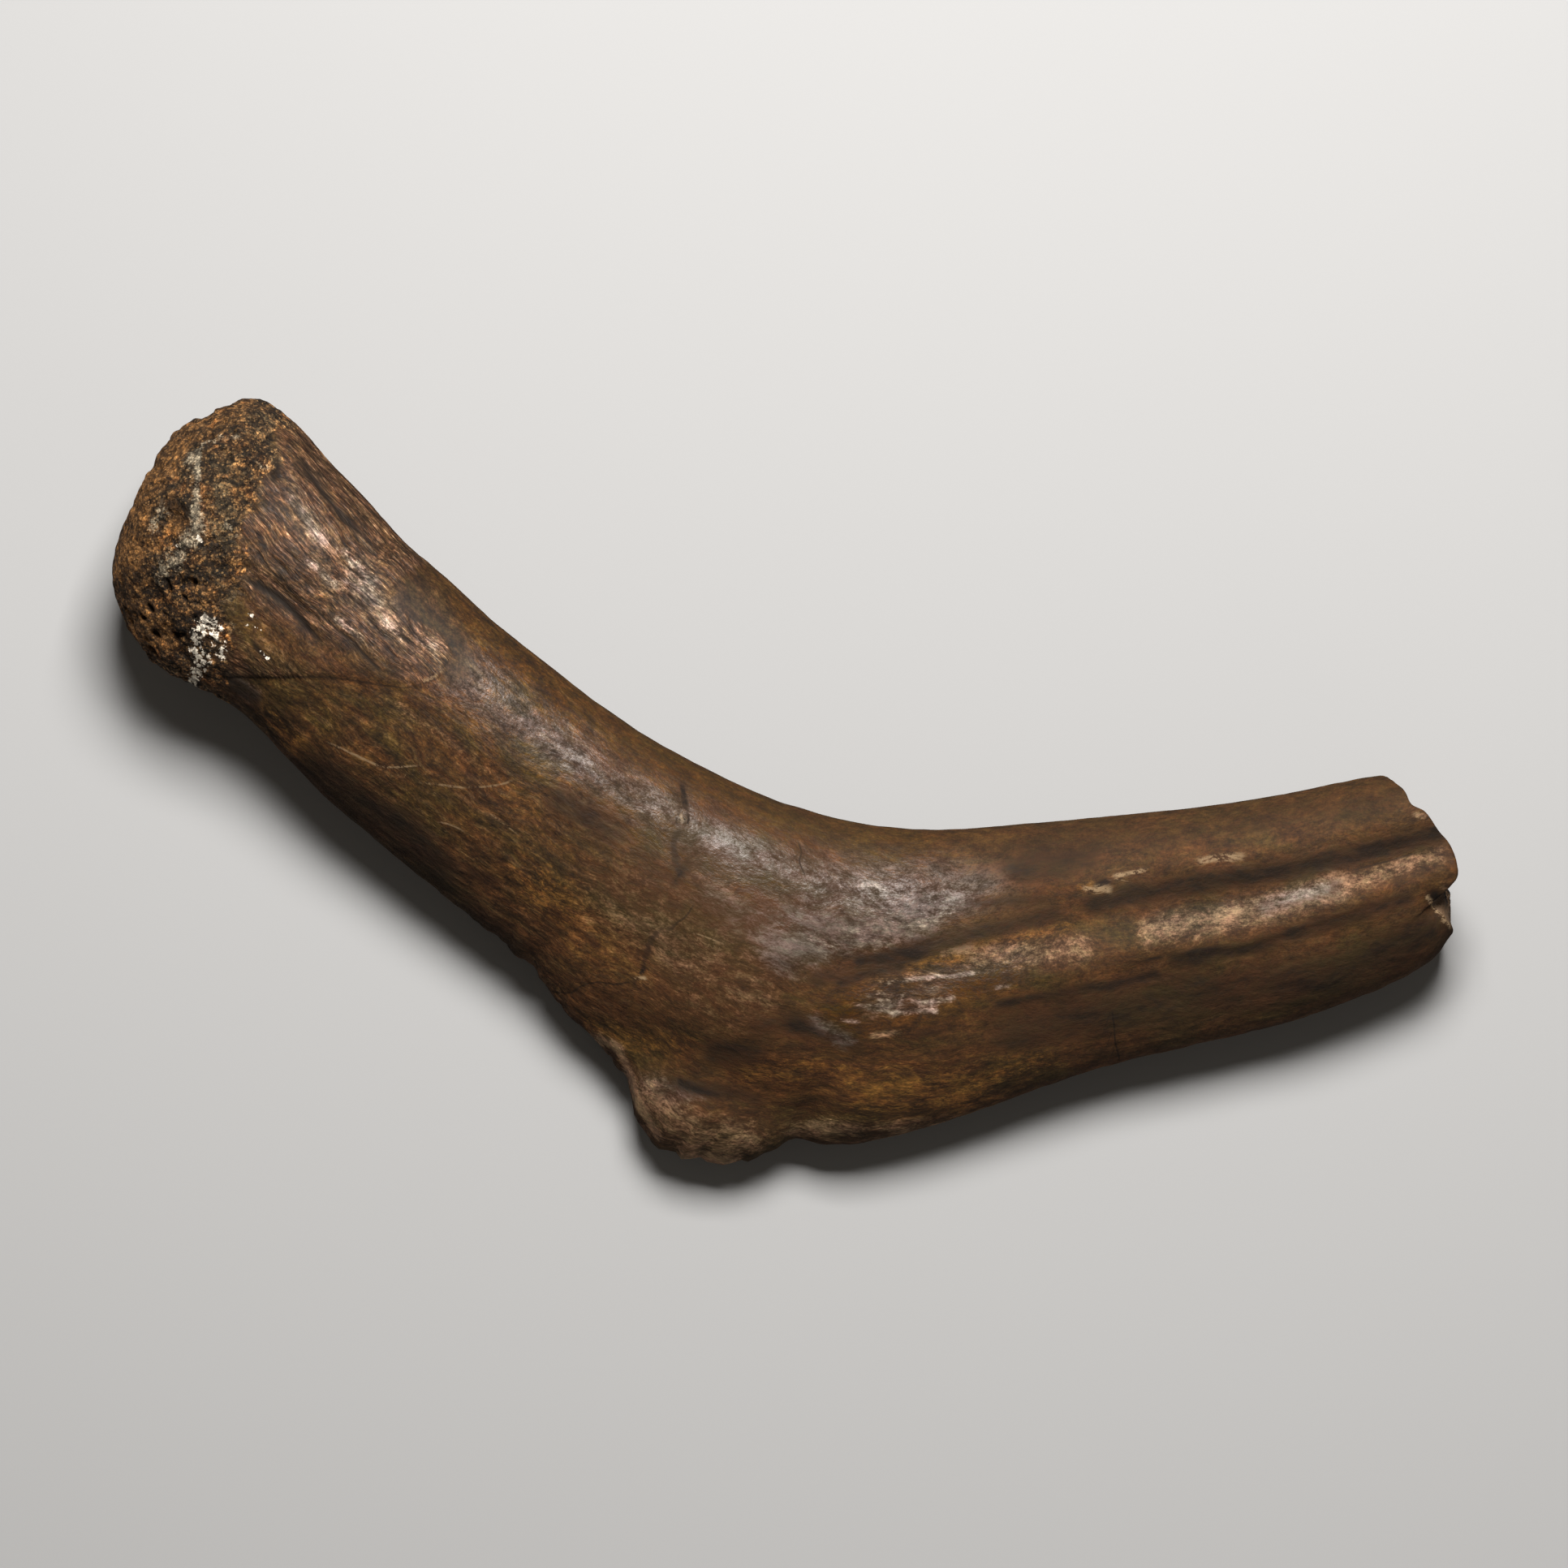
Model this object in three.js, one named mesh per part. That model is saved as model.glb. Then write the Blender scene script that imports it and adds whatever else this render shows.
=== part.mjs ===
// A fossil dinosaur rib: its head, neck and tubercle and the start of its shaft, which is broken off.
// The bone lies on its side. X runs along its length, from the head to the break, Y towards the
// inside of its bend, and Z up from the surface it lies on. Everything is in millimetres.
//
// The bone is one loft. Each station along it pairs a point of its upper edge with a point of its
// lower edge, as they lie in plan, and a cross-section is drawn between the two.
import * as THREE from "three";

// ---- How fine the facets are --------------------------------------------------------------------
const RING_STEP = 2.4; // how far an edge moves from one ring to the next, on average
const AROUND_ON_TOP = 27; // facets of one ring on the upper side, from edge to edge
const AROUND_BELOW = 17; // facets of one ring on the underside
const BREAK_RINGS = 4; // rings inside the broken end
const CURVE_STEPS = 8; // straight pieces between two points of a furrow or ridge

// ---- The two edges in plan, station by station --------------------------------------------------
// Each row is one station: [upper edge x, y, lower edge x, y].
const STATIONS = [
  // the head's domed end
  [-94.5, 45.0, -94.5, 45.0],
  [-92.3, 49.8, -97.0, 40.5],
  [-90.2, 52.6, -99.2, 35.8],
  [-88.0, 54.0, -100.0, 31.5],
  [-85.0, 55.2, -99.5, 27.8],
  [-82.0, 56.7, -98.0, 24.0],
  // the head's knob
  [-78.8, 57.3, -95.3, 19.7],
  [-75.0, 55.5, -91.3, 16.4],
  [-71.5, 52.5, -86.5, 14.0],
  [-67.5, 47.8, -82.0, 11.5],
  // the neck
  [-62.0, 42.2, -78.0, 8.0],
  [-56.5, 36.0, -73.5, 3.2],
  [-49.5, 30.0, -68.0, -2.5],
  [-42.5, 23.6, -61.0, -8.4],
  [-35.0, 17.6, -54.0, -14.2],
  [-28.0, 12.2, -47.5, -19.5],
  [-20.5, 7.2, -40.8, -25.2],
  // the tubercle, a flange on the outside of the bend
  [-14.0, 3.5, -36.0, -30.0],
  [-8.0, 0.5, -32.4, -34.6],
  [-2.5, -1.9, -28.5, -38.2],
  [2.5, -3.6, -24.9, -43.1],
  [6.5, -4.8, -22.7, -49.4],
  [10.0, -5.6, -18.6, -55.0],
  [13.5, -6.2, -12.5, -57.1],
  [16.5, -6.5, -6.5, -57.0],
  [19.5, -6.8, -2.0, -55.3],
  [22.5, -6.9, 1.5, -53.2],
  // the shaft
  [25.5, -6.8, 6.0, -54.1],
  [29.5, -6.5, 12.0, -53.8],
  [34.5, -6.1, 19.5, -52.0],
  [40.5, -5.6, 28.5, -49.2],
  [48.0, -4.9, 38.5, -45.5],
  [56.5, -4.0, 49.5, -42.0],
  [64.5, -3.1, 61.0, -39.2],
  [73.0, -1.8, 72.0, -36.6],
  [80.5, -0.3, 81.5, -33.8],
  [86.0, 0.8, 89.8, -30.4],
  [89.0, 1.3, 96.4, -26.8],
  [90.0, 1.1, 100.0, -22.5],
];
const LAST = STATIONS.length - 1;

// ---- Heights along the bone, as [station, value] ------------------------------------------------
// Height of each edge above the surface the bone lies on.
const UPPER_EDGE_HEIGHT = [[0, 15], [8, 15], [14, 15.5], [22, 14], [30, 12.5], [LAST, 12]];
const LOWER_EDGE_HEIGHT = [[0, 15], [7, 14.5], [14, 11], [19, 7.5], [24, 5.5], [28, 7.5], [LAST, 9.5]];
// How far the section rises over its edges, and how far it hangs below them.
const RISE = [
  [0, 0], [1, 5], [2, 8.6], [3, 11.2], [4, 13.2], [5, 14.7], [7, 16.4], [9, 16],
  [12, 13.5], [16, 12.8], [22, 14.2], [26, 13.2], [31, 11.2], [LAST, 10.5],
];
const HANG = [
  [0, 0], [1, 4.6], [2, 8.1], [3, 10.7], [4, 12.6], [5, 14], [7, 15.6], [9, 15],
  [13, 10.5], [18, 8.6], [22, 9.2], [26, 9.6], [31, 9.4], [35, 11.4], [LAST, 12],
];
// Where the section is highest: 0 is mid-way between the edges, and 1 would be the upper edge.
const CREST = [[0, 0], [8, 0.08], [14, 0.18], [22, 0.16], [28, 0.14], [LAST, 0.05]];
// How thin the section runs out at an edge: 0.5 is round, and 1 is sharp.
const UPPER_EDGE_SHARPNESS = [[0, 0.46], [12, 0.47], [21, 0.58], [30, 0.5], [LAST, 0.46]];
const LOWER_EDGE_SHARPNESS = [
  [0, 0.5], [8, 0.5], [14, 0.6], [19, 0.58], [22, 0.5], [26, 0.55], [31, 0.52], [LAST, 0.46],
];
const UNDERSIDE_SHARPNESS = 0.42;
// The long hollow of the underside: how deep it is, where it lies across, and its half-width.
const HOLLOW_DEPTH = [[8, 0], [14, 1.4], [22, 1.2], [30, 2.2], [35, 1.2], [LAST, 0.4]];
const HOLLOW_PLACE = [[8, 0], [20, -0.1], [LAST, 0.1]];
const HOLLOW_WIDTH = 0.34;

// ---- The broken end -----------------------------------------------------------------------------
// How far the bone reaches past its last station, as [place down, reach]. Place down runs from 0 at
// the upper edge to 1 at the lower edge.
const BREAK_ON_TOP = [
  [0, 0], [0.1, 1.1], [0.2, 1.3], [0.26, 2.6], [0.38, 3.3], [0.5, 4.2], [0.62, 3.9],
  // a chip is missing here
  [0.7, 2.8], [0.75, -1.2], [0.86, -0.6], [0.96, 0.2], [1, 0],
];
const BREAK_BELOW = [[0, 0], [0.15, -0.6], [0.4, 0.8], [0.6, 1.8], [0.8, 0.6], [1, 0]];
const BREAK_CORE = [[0, -0.4], [0.25, 1.2], [0.5, 2.2], [0.8, 1.3], [1, -0.3]]; // inside its rim
const BREAK_CORE_STARTS = 0.3; // how far in from the rim the core's reach holds
const BREAK_STARTS = 35; // the station where the reach starts to show
const BREAK_LUMP_HEIGHT = 0.6;
const BREAK_LUMP_SIZE = 13;

// ---- Furrows, ridges, pits and lumps of the upper side ------------------------------------------
// A furrow follows a path in plan. Its depth and its half-widths to the left and to the right hold
// along it as [place along, value], where place along runs from 0 to 1. A ridge is a furrow with a
// negative depth.
const FURROWS = [
  {
    // the groove that runs down the shaft to the break
    path: [
      [2, -31.5], [7.5, -29.6], [16.4, -26.6], [27, -24.6], [35, -22.6], [42, -21.2],
      [54.7, -18.9], [69.1, -16.4], [83.4, -12.8], [95.4, -9.6], [101, -8],
    ],
    depth: [[0, 0], [0.15, 0.3], [0.35, 0.6], [0.6, 1.5], [1, 2.2]],
    left: [[0, 5], [0.4, 5], [0.6, 4.6], [1, 4.4]],
    right: [[0, 4], [0.3, 3.6], [1, 3.8]],
  },
  {
    // the ridge under that groove
    path: [
      [6, -35], [14, -33.8], [23, -32], [33, -29.6], [45, -27], [56, -24.3], [68, -22.2],
      [81.6, -17.8], [90, -14.8], [99, -11.5],
    ],
    depth: [[0, 0], [0.15, -0.5], [0.4, -0.6], [1, -0.5]],
    left: [[0, 4.5], [0.5, 3.4], [1, 2.6]],
    right: [[0, 4.5], [0.5, 3], [1, 2.2]],
  },
  {
    // the hollow that sets the tubercle's flange off from the bone
    path: [[-25.5, -39.5], [-17.5, -42.2], [-9, -45], [-1.5, -48.5], [2.5, -53]],
    depth: [[0, 1], [0.3, 2.6], [0.6, 2.6], [1, 0.8]],
    left: [[0, 5], [0.4, 9], [1, 6]],
    right: [[0, 4], [0.5, 7], [1, 4]],
  },
  {
    // the rim between the head's side and its end
    path: [[-79, 51.5], [-85, 49], [-87, 44], [-87.5, 38], [-88, 32], [-91, 28.5]],
    depth: [[0, -0.5], [0.5, -0.9], [1, -0.4]],
    left: [[0, 2], [1, 2]],
    right: [[0, 2], [1, 2]],
  },
  {
    // a slanting furrow behind the head
    path: [[-80, 31], [-75, 28.5], [-71, 24], [-67.5, 19]],
    depth: [[0, 0.4], [0.5, 0.8], [1, 0.2]],
    left: [[0, 2.4], [1, 2.4]],
    right: [[0, 1.2], [1, 1.2]],
  },
  {
    // the crack along the edge of the fibrous slab on the neck
    path: [[-83, 15.5], [-73, 15.5], [-62, 15], [-54.5, 14.5], [-51.5, 17], [-50.5, 20.5]],
    depth: [[0, 0.2], [0.5, 0.4], [1, 0.4]],
    left: [[0, 1.3], [1, 1.3]],
    right: [[0, 1.3], [1, 1.3]],
  },
];
// [x, y, radius, depth]; a lump has a negative depth.
const PITS = [
  [-92, 27.5, 2.3, 1.9],
  [-88, 29.5, 1.8, 1.2],
  [-91.5, 22.5, 2.6, 1.2],
  [-88.5, 20, 1.8, 0.7],
  [-94.5, 34, 2.2, 0.6],
  [-89.5, 39.5, 2, 0.6],
  [-84, 53, 2.4, 0.8],
  [-12, -51, 6.5, -0.8],
  [-33.5, -35.5, 2, 0.8],
  [97, -18, 1.9, 1.6],
];
// Low lumps all over the upper side, and the smaller ones of the worn, spongy head.
const LUMP_HEIGHT = 0.22;
const LUMP_SIZE = 23;
const HEAD_LUMP_HEIGHT = 0.25;
const HEAD_LUMP_SIZE = 11;
const HEAD_ENDS_AT = [6, 9]; // stations between which the head's lumps fade out
const EDGE_FADE = [0.1, 0.6]; // shares of the rise between which all of this fades in from an edge

// ---- Curves -------------------------------------------------------------------------------------
// A smooth curve through knots [place, value]. Its slope at a knot is that of the line between the
// knots on either side.
function curve(knots) {
  const slope = (i) => {
    const before = knots[Math.max(i - 1, 0)];
    const after = knots[Math.min(i + 1, knots.length - 1)];
    return (after[1] - before[1]) / (after[0] - before[0]);
  };
  return (place) => {
    if (place <= knots[0][0]) return knots[0][1];
    if (place >= knots.at(-1)[0]) return knots.at(-1)[1];
    const i = knots.findIndex((knot) => knot[0] > place) - 1;
    const length = knots[i + 1][0] - knots[i][0];
    const climb = knots[i + 1][1] - knots[i][1];
    const share = (place - knots[i][0]) / length;
    const start = (1 - share) * (slope(i) * length - climb);
    const end = share * (slope(i + 1) * length - climb);
    return knots[i][1] + climb * share + share * (1 - share) * (start - end);
  };
}

const edgeCurve = (column) =>
  new THREE.CatmullRomCurve3(
    STATIONS.map((row) => new THREE.Vector3(row[column], row[column + 1], 0)),
    false,
    "catmullrom",
  );
const upperEdge = edgeCurve(0);
const lowerEdge = edgeCurve(2);
const upperEdgeHeight = curve(UPPER_EDGE_HEIGHT);
const lowerEdgeHeight = curve(LOWER_EDGE_HEIGHT);
const rise = curve(RISE);
const hang = curve(HANG);
const crest = curve(CREST);
const upperEdgeSharpness = curve(UPPER_EDGE_SHARPNESS);
const lowerEdgeSharpness = curve(LOWER_EDGE_SHARPNESS);
const hollowDepth = curve(HOLLOW_DEPTH);
const hollowPlace = curve(HOLLOW_PLACE);
const breakOnTop = curve(BREAK_ON_TOP);
const breakBelow = curve(BREAK_BELOW);
const breakCore = curve(BREAK_CORE);

// ---- Relief of the upper side -------------------------------------------------------------------
const furrows = FURROWS.map(({ path, depth, left, right }) => ({
  points: new THREE.SplineCurve(path.map(([x, y]) => new THREE.Vector2(x, y))).getPoints(
    CURVE_STEPS * (path.length - 1),
  ),
  depth: curve(depth),
  left: curve(left),
  right: curve(right),
}));

// How far (x, y) is from a line of points, how far along the line the nearest point is, and whether
// (x, y) lies on the line's left.
function nearestOn(points, x, y) {
  let best = { distance: Infinity, along: 0, onLeft: true };
  for (let i = 0; i + 1 < points.length; i++) {
    const a = points[i];
    const b = points[i + 1];
    const dx = b.x - a.x;
    const dy = b.y - a.y;
    const s = THREE.MathUtils.clamp(((x - a.x) * dx + (y - a.y) * dy) / (dx * dx + dy * dy), 0, 1);
    const distance = Math.hypot(x - a.x - s * dx, y - a.y - s * dy);
    const onLeft = dx * (y - a.y) > dy * (x - a.x);
    if (distance < best.distance) best = { distance, along: (i + s) / (points.length - 1), onLeft };
  }
  return best;
}

const bell = (ratio) => Math.exp(-ratio * ratio);

// A lumpy value between -1 and 1 over a plane, with lumps about half of size across.
function lumpy(a, b, size) {
  const turn = (2 * Math.PI) / size;
  return Math.sin(turn * (a + b / 2)) * Math.cos(turn * (b - a / 3) + Math.sin(turn * a / 2));
}

function relief(x, y, station) {
  let height = LUMP_HEIGHT * lumpy(x, y, LUMP_SIZE);
  const spongy = 1 - THREE.MathUtils.smoothstep(station, ...HEAD_ENDS_AT);
  height += HEAD_LUMP_HEIGHT * spongy * lumpy(y, x, HEAD_LUMP_SIZE);
  for (const { points, depth, left, right } of furrows) {
    const { distance, along, onLeft } = nearestOn(points, x, y);
    const halfWidth = (onLeft ? left : right)(along);
    height -= depth(along) * bell(distance / halfWidth);
  }
  for (const [pitX, pitY, radius, depth] of PITS) {
    height -= depth * bell(Math.hypot(x - pitX, y - pitY) / radius);
  }
  return height;
}

// ---- The cross-section --------------------------------------------------------------------------
// How high the section stands over its edges, as a share of the most, at a place across it from -1
// (lower edge) to 1 (upper edge). It is highest at top.
function arch(across, top, lowerSharpness, upperSharpness) {
  const shift = top / (1 - top * top);
  const moved = across + shift * (across * across - 1);
  const sharpness = THREE.MathUtils.lerp(lowerSharpness, upperSharpness, (across + 1) / 2);
  return Math.max(1 - moved * moved, 0) ** sharpness;
}

// Which way the bone runs on from its last station, in plan.
const onward = new THREE.Vector2(
  STATIONS[LAST][1] - STATIONS[LAST][3],
  STATIONS[LAST][2] - STATIONS[LAST][0],
).normalize();

// A point of the bone's surface, at a station and an angle round its section. The angle is 0 at the
// upper edge, a quarter turn on top and a half turn at the lower edge.
function surfacePoint(station, angle) {
  const upper = upperEdge.getPoint(station / LAST);
  const lower = lowerEdge.getPoint(station / LAST);
  const across = Math.cos(angle);
  const onTop = angle <= Math.PI;
  const placeDown = (1 - across) / 2;
  const point = new THREE.Vector3().lerpVectors(upper, lower, placeDown);

  const shown = THREE.MathUtils.smoothstep(station, BREAK_STARTS, LAST);
  const reach = shown * (onTop ? breakOnTop : breakBelow)(placeDown);
  point.x += onward.x * reach;
  point.y += onward.y * reach;

  const edge = THREE.MathUtils.lerp(upperEdgeHeight(station), lowerEdgeHeight(station), placeDown);
  if (onTop) {
    const share = arch(
      across,
      crest(station),
      lowerEdgeSharpness(station),
      upperEdgeSharpness(station),
    );
    const inside = THREE.MathUtils.smoothstep(share, ...EDGE_FADE);
    point.z = edge + rise(station) * share + relief(point.x, point.y, station) * inside;
  } else {
    const share = arch(across, 0, UNDERSIDE_SHARPNESS, UNDERSIDE_SHARPNESS);
    const hollow = hollowDepth(station) * bell((across - hollowPlace(station)) / HOLLOW_WIDTH);
    point.z = Math.max(edge - hang(station) * share + hollow, 0);
  }
  return point;
}

// ---- The mesh -----------------------------------------------------------------------------------
// The stations that get a ring: the two edges move RING_STEP between them, on average.
function ringStations() {
  const fine = 40 * LAST;
  const found = [];
  let travelled = 0;
  for (let i = 1; i < fine; i++) {
    for (const edge of [upperEdge, lowerEdge]) {
      travelled += edge.getPoint(i / fine).distanceTo(edge.getPoint((i - 1) / fine)) / 2;
    }
    if (travelled >= RING_STEP) {
      found.push((i / fine) * LAST);
      travelled = 0;
    }
  }
  return [...found, LAST];
}

const ringAngles = [
  ...Array.from({ length: AROUND_ON_TOP }, (_, j) => (Math.PI * j) / AROUND_ON_TOP),
  ...Array.from({ length: AROUND_BELOW }, (_, j) => Math.PI * (1 + j / AROUND_BELOW)),
];

// The rings of the broken face, each further in than the last, and the point in their middle.
function brokenFace() {
  const [upperX, upperY, lowerX, lowerY] = STATIONS[LAST];
  const middle = new THREE.Vector3((upperX + lowerX) / 2, (upperY + lowerY) / 2, 0);
  middle.z = (surfacePoint(LAST, Math.PI / 2).z + surfacePoint(LAST, (3 * Math.PI) / 2).z) / 2;
  const facePoint = (angle, inwards) => {
    const rim = surfacePoint(LAST, angle);
    const place = (1 - Math.cos(angle) * (1 - inwards)) / 2;
    const point = new THREE.Vector3().lerpVectors(rim, middle, inwards);
    const rimReach = (rim.x - middle.x) * onward.x + (rim.y - middle.y) * onward.y;
    const lump = BREAK_LUMP_HEIGHT * lumpy(point.y, point.z, BREAK_LUMP_SIZE);
    const core = THREE.MathUtils.smoothstep(inwards, 0, BREAK_CORE_STARTS);
    const reach = THREE.MathUtils.lerp(rimReach, breakCore(place) + lump, core);
    const flat = rimReach * (1 - inwards);
    point.x += onward.x * (reach - flat);
    point.y += onward.y * (reach - flat);
    return point;
  };
  const rings = [];
  for (let k = 1; k <= BREAK_RINGS; k++) {
    rings.push(ringAngles.map((angle) => facePoint(angle, k / (BREAK_RINGS + 1))));
  }
  return { rings, middle: facePoint(0, 1) };
}

function ribGeometry() {
  const face = brokenFace();
  const rings = [
    ...ringStations().map((station) => ringAngles.map((angle) => surfacePoint(station, angle))),
    ...face.rings,
  ];
  const points = [surfacePoint(0, 0), ...rings.flat(), face.middle];
  const around = ringAngles.length;
  const corner = (ring, j) => 1 + ring * around + (j % around);
  const faces = [];
  for (let j = 0; j < around; j++) {
    faces.push(0, corner(0, j + 1), corner(0, j));
    for (let ring = 0; ring + 1 < rings.length; ring++) {
      faces.push(corner(ring, j), corner(ring, j + 1), corner(ring + 1, j));
      faces.push(corner(ring, j + 1), corner(ring + 1, j + 1), corner(ring + 1, j));
    }
    faces.push(points.length - 1, corner(rings.length - 1, j), corner(rings.length - 1, j + 1));
  }
  const geometry = new THREE.BufferGeometry().setFromPoints(points);
  geometry.setIndex(faces);
  geometry.computeVertexNormals();
  return geometry;
}

// ---- The part -----------------------------------------------------------------------------------
const bone = new THREE.MeshStandardMaterial({ color: 0x5a4024, roughness: 0.5, metalness: 0 });
const rib = new THREE.Mesh(ribGeometry(), bone);
rib.name = "rib";

const part = new THREE.Group();
part.add(rib);
export default part;
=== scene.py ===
# %% [markdown]
# # A fossil dinosaur rib
# The piece is the head end of a dinosaur's rib: a domed, worn head, a long neck, a thin flange at the
# bend, called the tubercle, and the start of the shaft, which is broken off. It lies on its side.
# A plain CAD solid already fixes its size and its main forms. Here it gets what a solid of a few
# thousand facets can't hold: fibres, pores, cracks, chips, a fracture and the colours of the mineral.
# The frame comes first, because everything else is made in its place and inside its box.

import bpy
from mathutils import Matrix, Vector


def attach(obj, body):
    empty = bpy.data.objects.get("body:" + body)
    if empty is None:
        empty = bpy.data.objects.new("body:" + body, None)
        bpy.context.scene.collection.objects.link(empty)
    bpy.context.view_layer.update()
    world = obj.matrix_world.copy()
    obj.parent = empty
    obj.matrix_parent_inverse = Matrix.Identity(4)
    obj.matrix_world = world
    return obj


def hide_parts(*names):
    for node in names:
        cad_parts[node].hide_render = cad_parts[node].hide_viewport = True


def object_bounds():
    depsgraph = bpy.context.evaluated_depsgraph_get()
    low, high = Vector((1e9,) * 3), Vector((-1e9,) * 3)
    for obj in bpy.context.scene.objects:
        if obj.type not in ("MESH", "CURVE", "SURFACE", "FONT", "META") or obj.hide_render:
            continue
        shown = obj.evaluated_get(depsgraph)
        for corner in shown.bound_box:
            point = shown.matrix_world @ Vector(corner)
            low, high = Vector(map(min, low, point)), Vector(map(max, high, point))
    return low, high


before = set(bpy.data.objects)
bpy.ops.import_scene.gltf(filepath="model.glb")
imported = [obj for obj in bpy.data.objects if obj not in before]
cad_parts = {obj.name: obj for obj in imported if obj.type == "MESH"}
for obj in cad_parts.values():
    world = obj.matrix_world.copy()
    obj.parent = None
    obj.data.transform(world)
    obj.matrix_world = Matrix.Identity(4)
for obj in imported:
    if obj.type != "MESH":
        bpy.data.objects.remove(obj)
solid_low, solid_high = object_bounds()
print("the solid's box, in metres:", solid_low, solid_high)

# %% Tools and units
import math

import bpy
import numpy as np
from mathutils import Vector, noise

MM = 0.001
print("nodes of the frame:", sorted(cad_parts))

# %% [markdown]
# ## The bone's main form
# A rib is a bent, tapering tube whose two edges run very differently: the inside of the bend is one
# calm curve, and the outside has the head, the flange and a ragged step. It could be sculpted from a
# remeshed blob, but a loft keeps control of the outline, and its rows of vertices run along the bone,
# just as the fibres do. So each station pairs a point of the upper edge with a point of the lower
# edge, and a cross-section is drawn between them. These are the solid's own stations, in millimetres.

# %% Stations along the bone
STATIONS = [
    # upper edge x, y, lower edge x, y: the head's domed end
    (-94.5, 45.0, -94.5, 45.0),
    (-92.3, 49.8, -97.0, 40.5),
    (-90.2, 52.6, -99.2, 35.8),
    (-88.0, 54.0, -100.0, 31.5),
    (-85.0, 55.2, -99.5, 27.8),
    (-82.0, 56.7, -98.0, 24.0),
    # the head's knob
    (-78.8, 57.3, -95.3, 19.7),
    (-75.0, 55.5, -91.3, 16.4),
    (-71.5, 52.5, -86.5, 14.0),
    (-67.5, 47.8, -82.0, 11.5),
    # the neck
    (-62.0, 42.2, -78.0, 8.0),
    (-56.5, 36.0, -73.5, 3.2),
    (-49.5, 30.0, -68.0, -2.5),
    (-42.5, 23.6, -61.0, -8.4),
    (-35.0, 17.6, -54.0, -14.2),
    (-28.0, 12.2, -47.5, -19.5),
    (-20.5, 7.2, -40.8, -25.2),
    # the tubercle
    (-14.0, 3.5, -36.0, -30.0),
    (-8.0, 0.5, -32.4, -34.6),
    (-2.5, -1.9, -28.5, -38.2),
    (2.5, -3.6, -24.9, -43.1),
    (6.5, -4.8, -22.7, -49.4),
    (10.0, -5.6, -18.6, -55.0),
    (13.5, -6.2, -12.5, -57.1),
    (16.5, -6.5, -6.5, -57.0),
    (19.5, -6.8, -2.0, -55.3),
    (22.5, -6.9, 1.5, -53.2),
    # the shaft
    (25.5, -6.8, 6.0, -54.1),
    (29.5, -6.5, 12.0, -53.8),
    (34.5, -6.1, 19.5, -52.0),
    (40.5, -5.6, 28.5, -49.2),
    (48.0, -4.9, 38.5, -45.5),
    (56.5, -4.0, 49.5, -42.0),
    (64.5, -3.1, 61.0, -39.2),
    (73.0, -1.8, 72.0, -36.6),
    (80.5, -0.3, 81.5, -33.8),
    (86.0, 0.8, 89.8, -30.4),
    (89.0, 1.3, 96.4, -26.8),
    (90.0, 1.1, 100.0, -22.5),
]
LAST = len(STATIONS) - 1
print(LAST + 1, "stations")


# %% A smooth curve through a few knots
def curve(knots):
    """A function that runs smoothly through knots of (place, value)."""
    place, value = np.array(knots, float).T
    slope = np.gradient(value, place)
    slope[1:-1] = (value[2:] - value[:-2]) / (place[2:] - place[:-2])

    def at(where):
        where = np.clip(where, place[0], place[-1])
        i = np.clip(np.searchsorted(place, where, "right") - 1, 0, len(place) - 2)
        length = place[i + 1] - place[i]
        climb = value[i + 1] - value[i]
        share = (where - place[i]) / length
        start = (1 - share) * (slope[i] * length - climb)
        end = share * (slope[i + 1] * length - climb)
        return value[i] + climb * share + share * (1 - share) * (start - end)

    return at


upper_x, upper_y, lower_x, lower_y = [curve(list(enumerate(column))) for column in zip(*STATIONS)]
print("upper edge half-way along:", upper_x(LAST / 2).round(1), upper_y(LAST / 2).round(1))

# %% Heights along the bone
# Knots of (station, millimetres): the edges' height over the table, and how far the section rises
# over them and hangs below them.
upper_edge_height = curve([(0, 15), (8, 15), (14, 15.5), (22, 14), (30, 12.5), (LAST, 12)])
lower_edge_height = curve([(0, 15), (7, 14.5), (14, 11), (19, 7.5), (24, 5.5), (28, 7.5), (LAST, 9.5)])
rise = curve([
    (0, 0), (1, 5), (2, 8.6), (3, 11.2), (4, 13.2), (5, 14.7), (7, 16.4), (9, 16),
    (12, 13.5), (16, 12.8), (22, 14.2), (26, 13.2), (31, 11.2), (LAST, 10.5),
])
hang = curve([
    (0, 0), (1, 4.6), (2, 8.1), (3, 10.7), (4, 12.6), (5, 14), (7, 15.6), (9, 15),
    (13, 10.5), (18, 8.6), (22, 9.2), (26, 9.6), (31, 9.4), (35, 11.4), (LAST, 12),
])
crest = curve([(0, 0), (8, 0.08), (14, 0.18), (22, 0.16), (28, 0.14), (LAST, 0.05)])
upper_sharpness = curve([(0, 0.46), (12, 0.47), (21, 0.58), (30, 0.5), (LAST, 0.46)])
lower_sharpness = curve([
    (0, 0.5), (8, 0.5), (14, 0.6), (19, 0.58), (22, 0.5), (26, 0.55), (31, 0.52), (LAST, 0.46),
])
hollow_depth = curve([(8, 0), (14, 1.4), (22, 1.2), (30, 2.2), (35, 1.2), (LAST, 0.4)])
hollow_place = curve([(8, 0), (20, -0.1), (LAST, 0.1)])
UNDERSIDE_SHARPNESS = 0.42
HOLLOW_WIDTH = 0.34
print("the head rises", round(float(lower_edge_height(7) + rise(7)), 1), "mm over the table")

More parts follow.
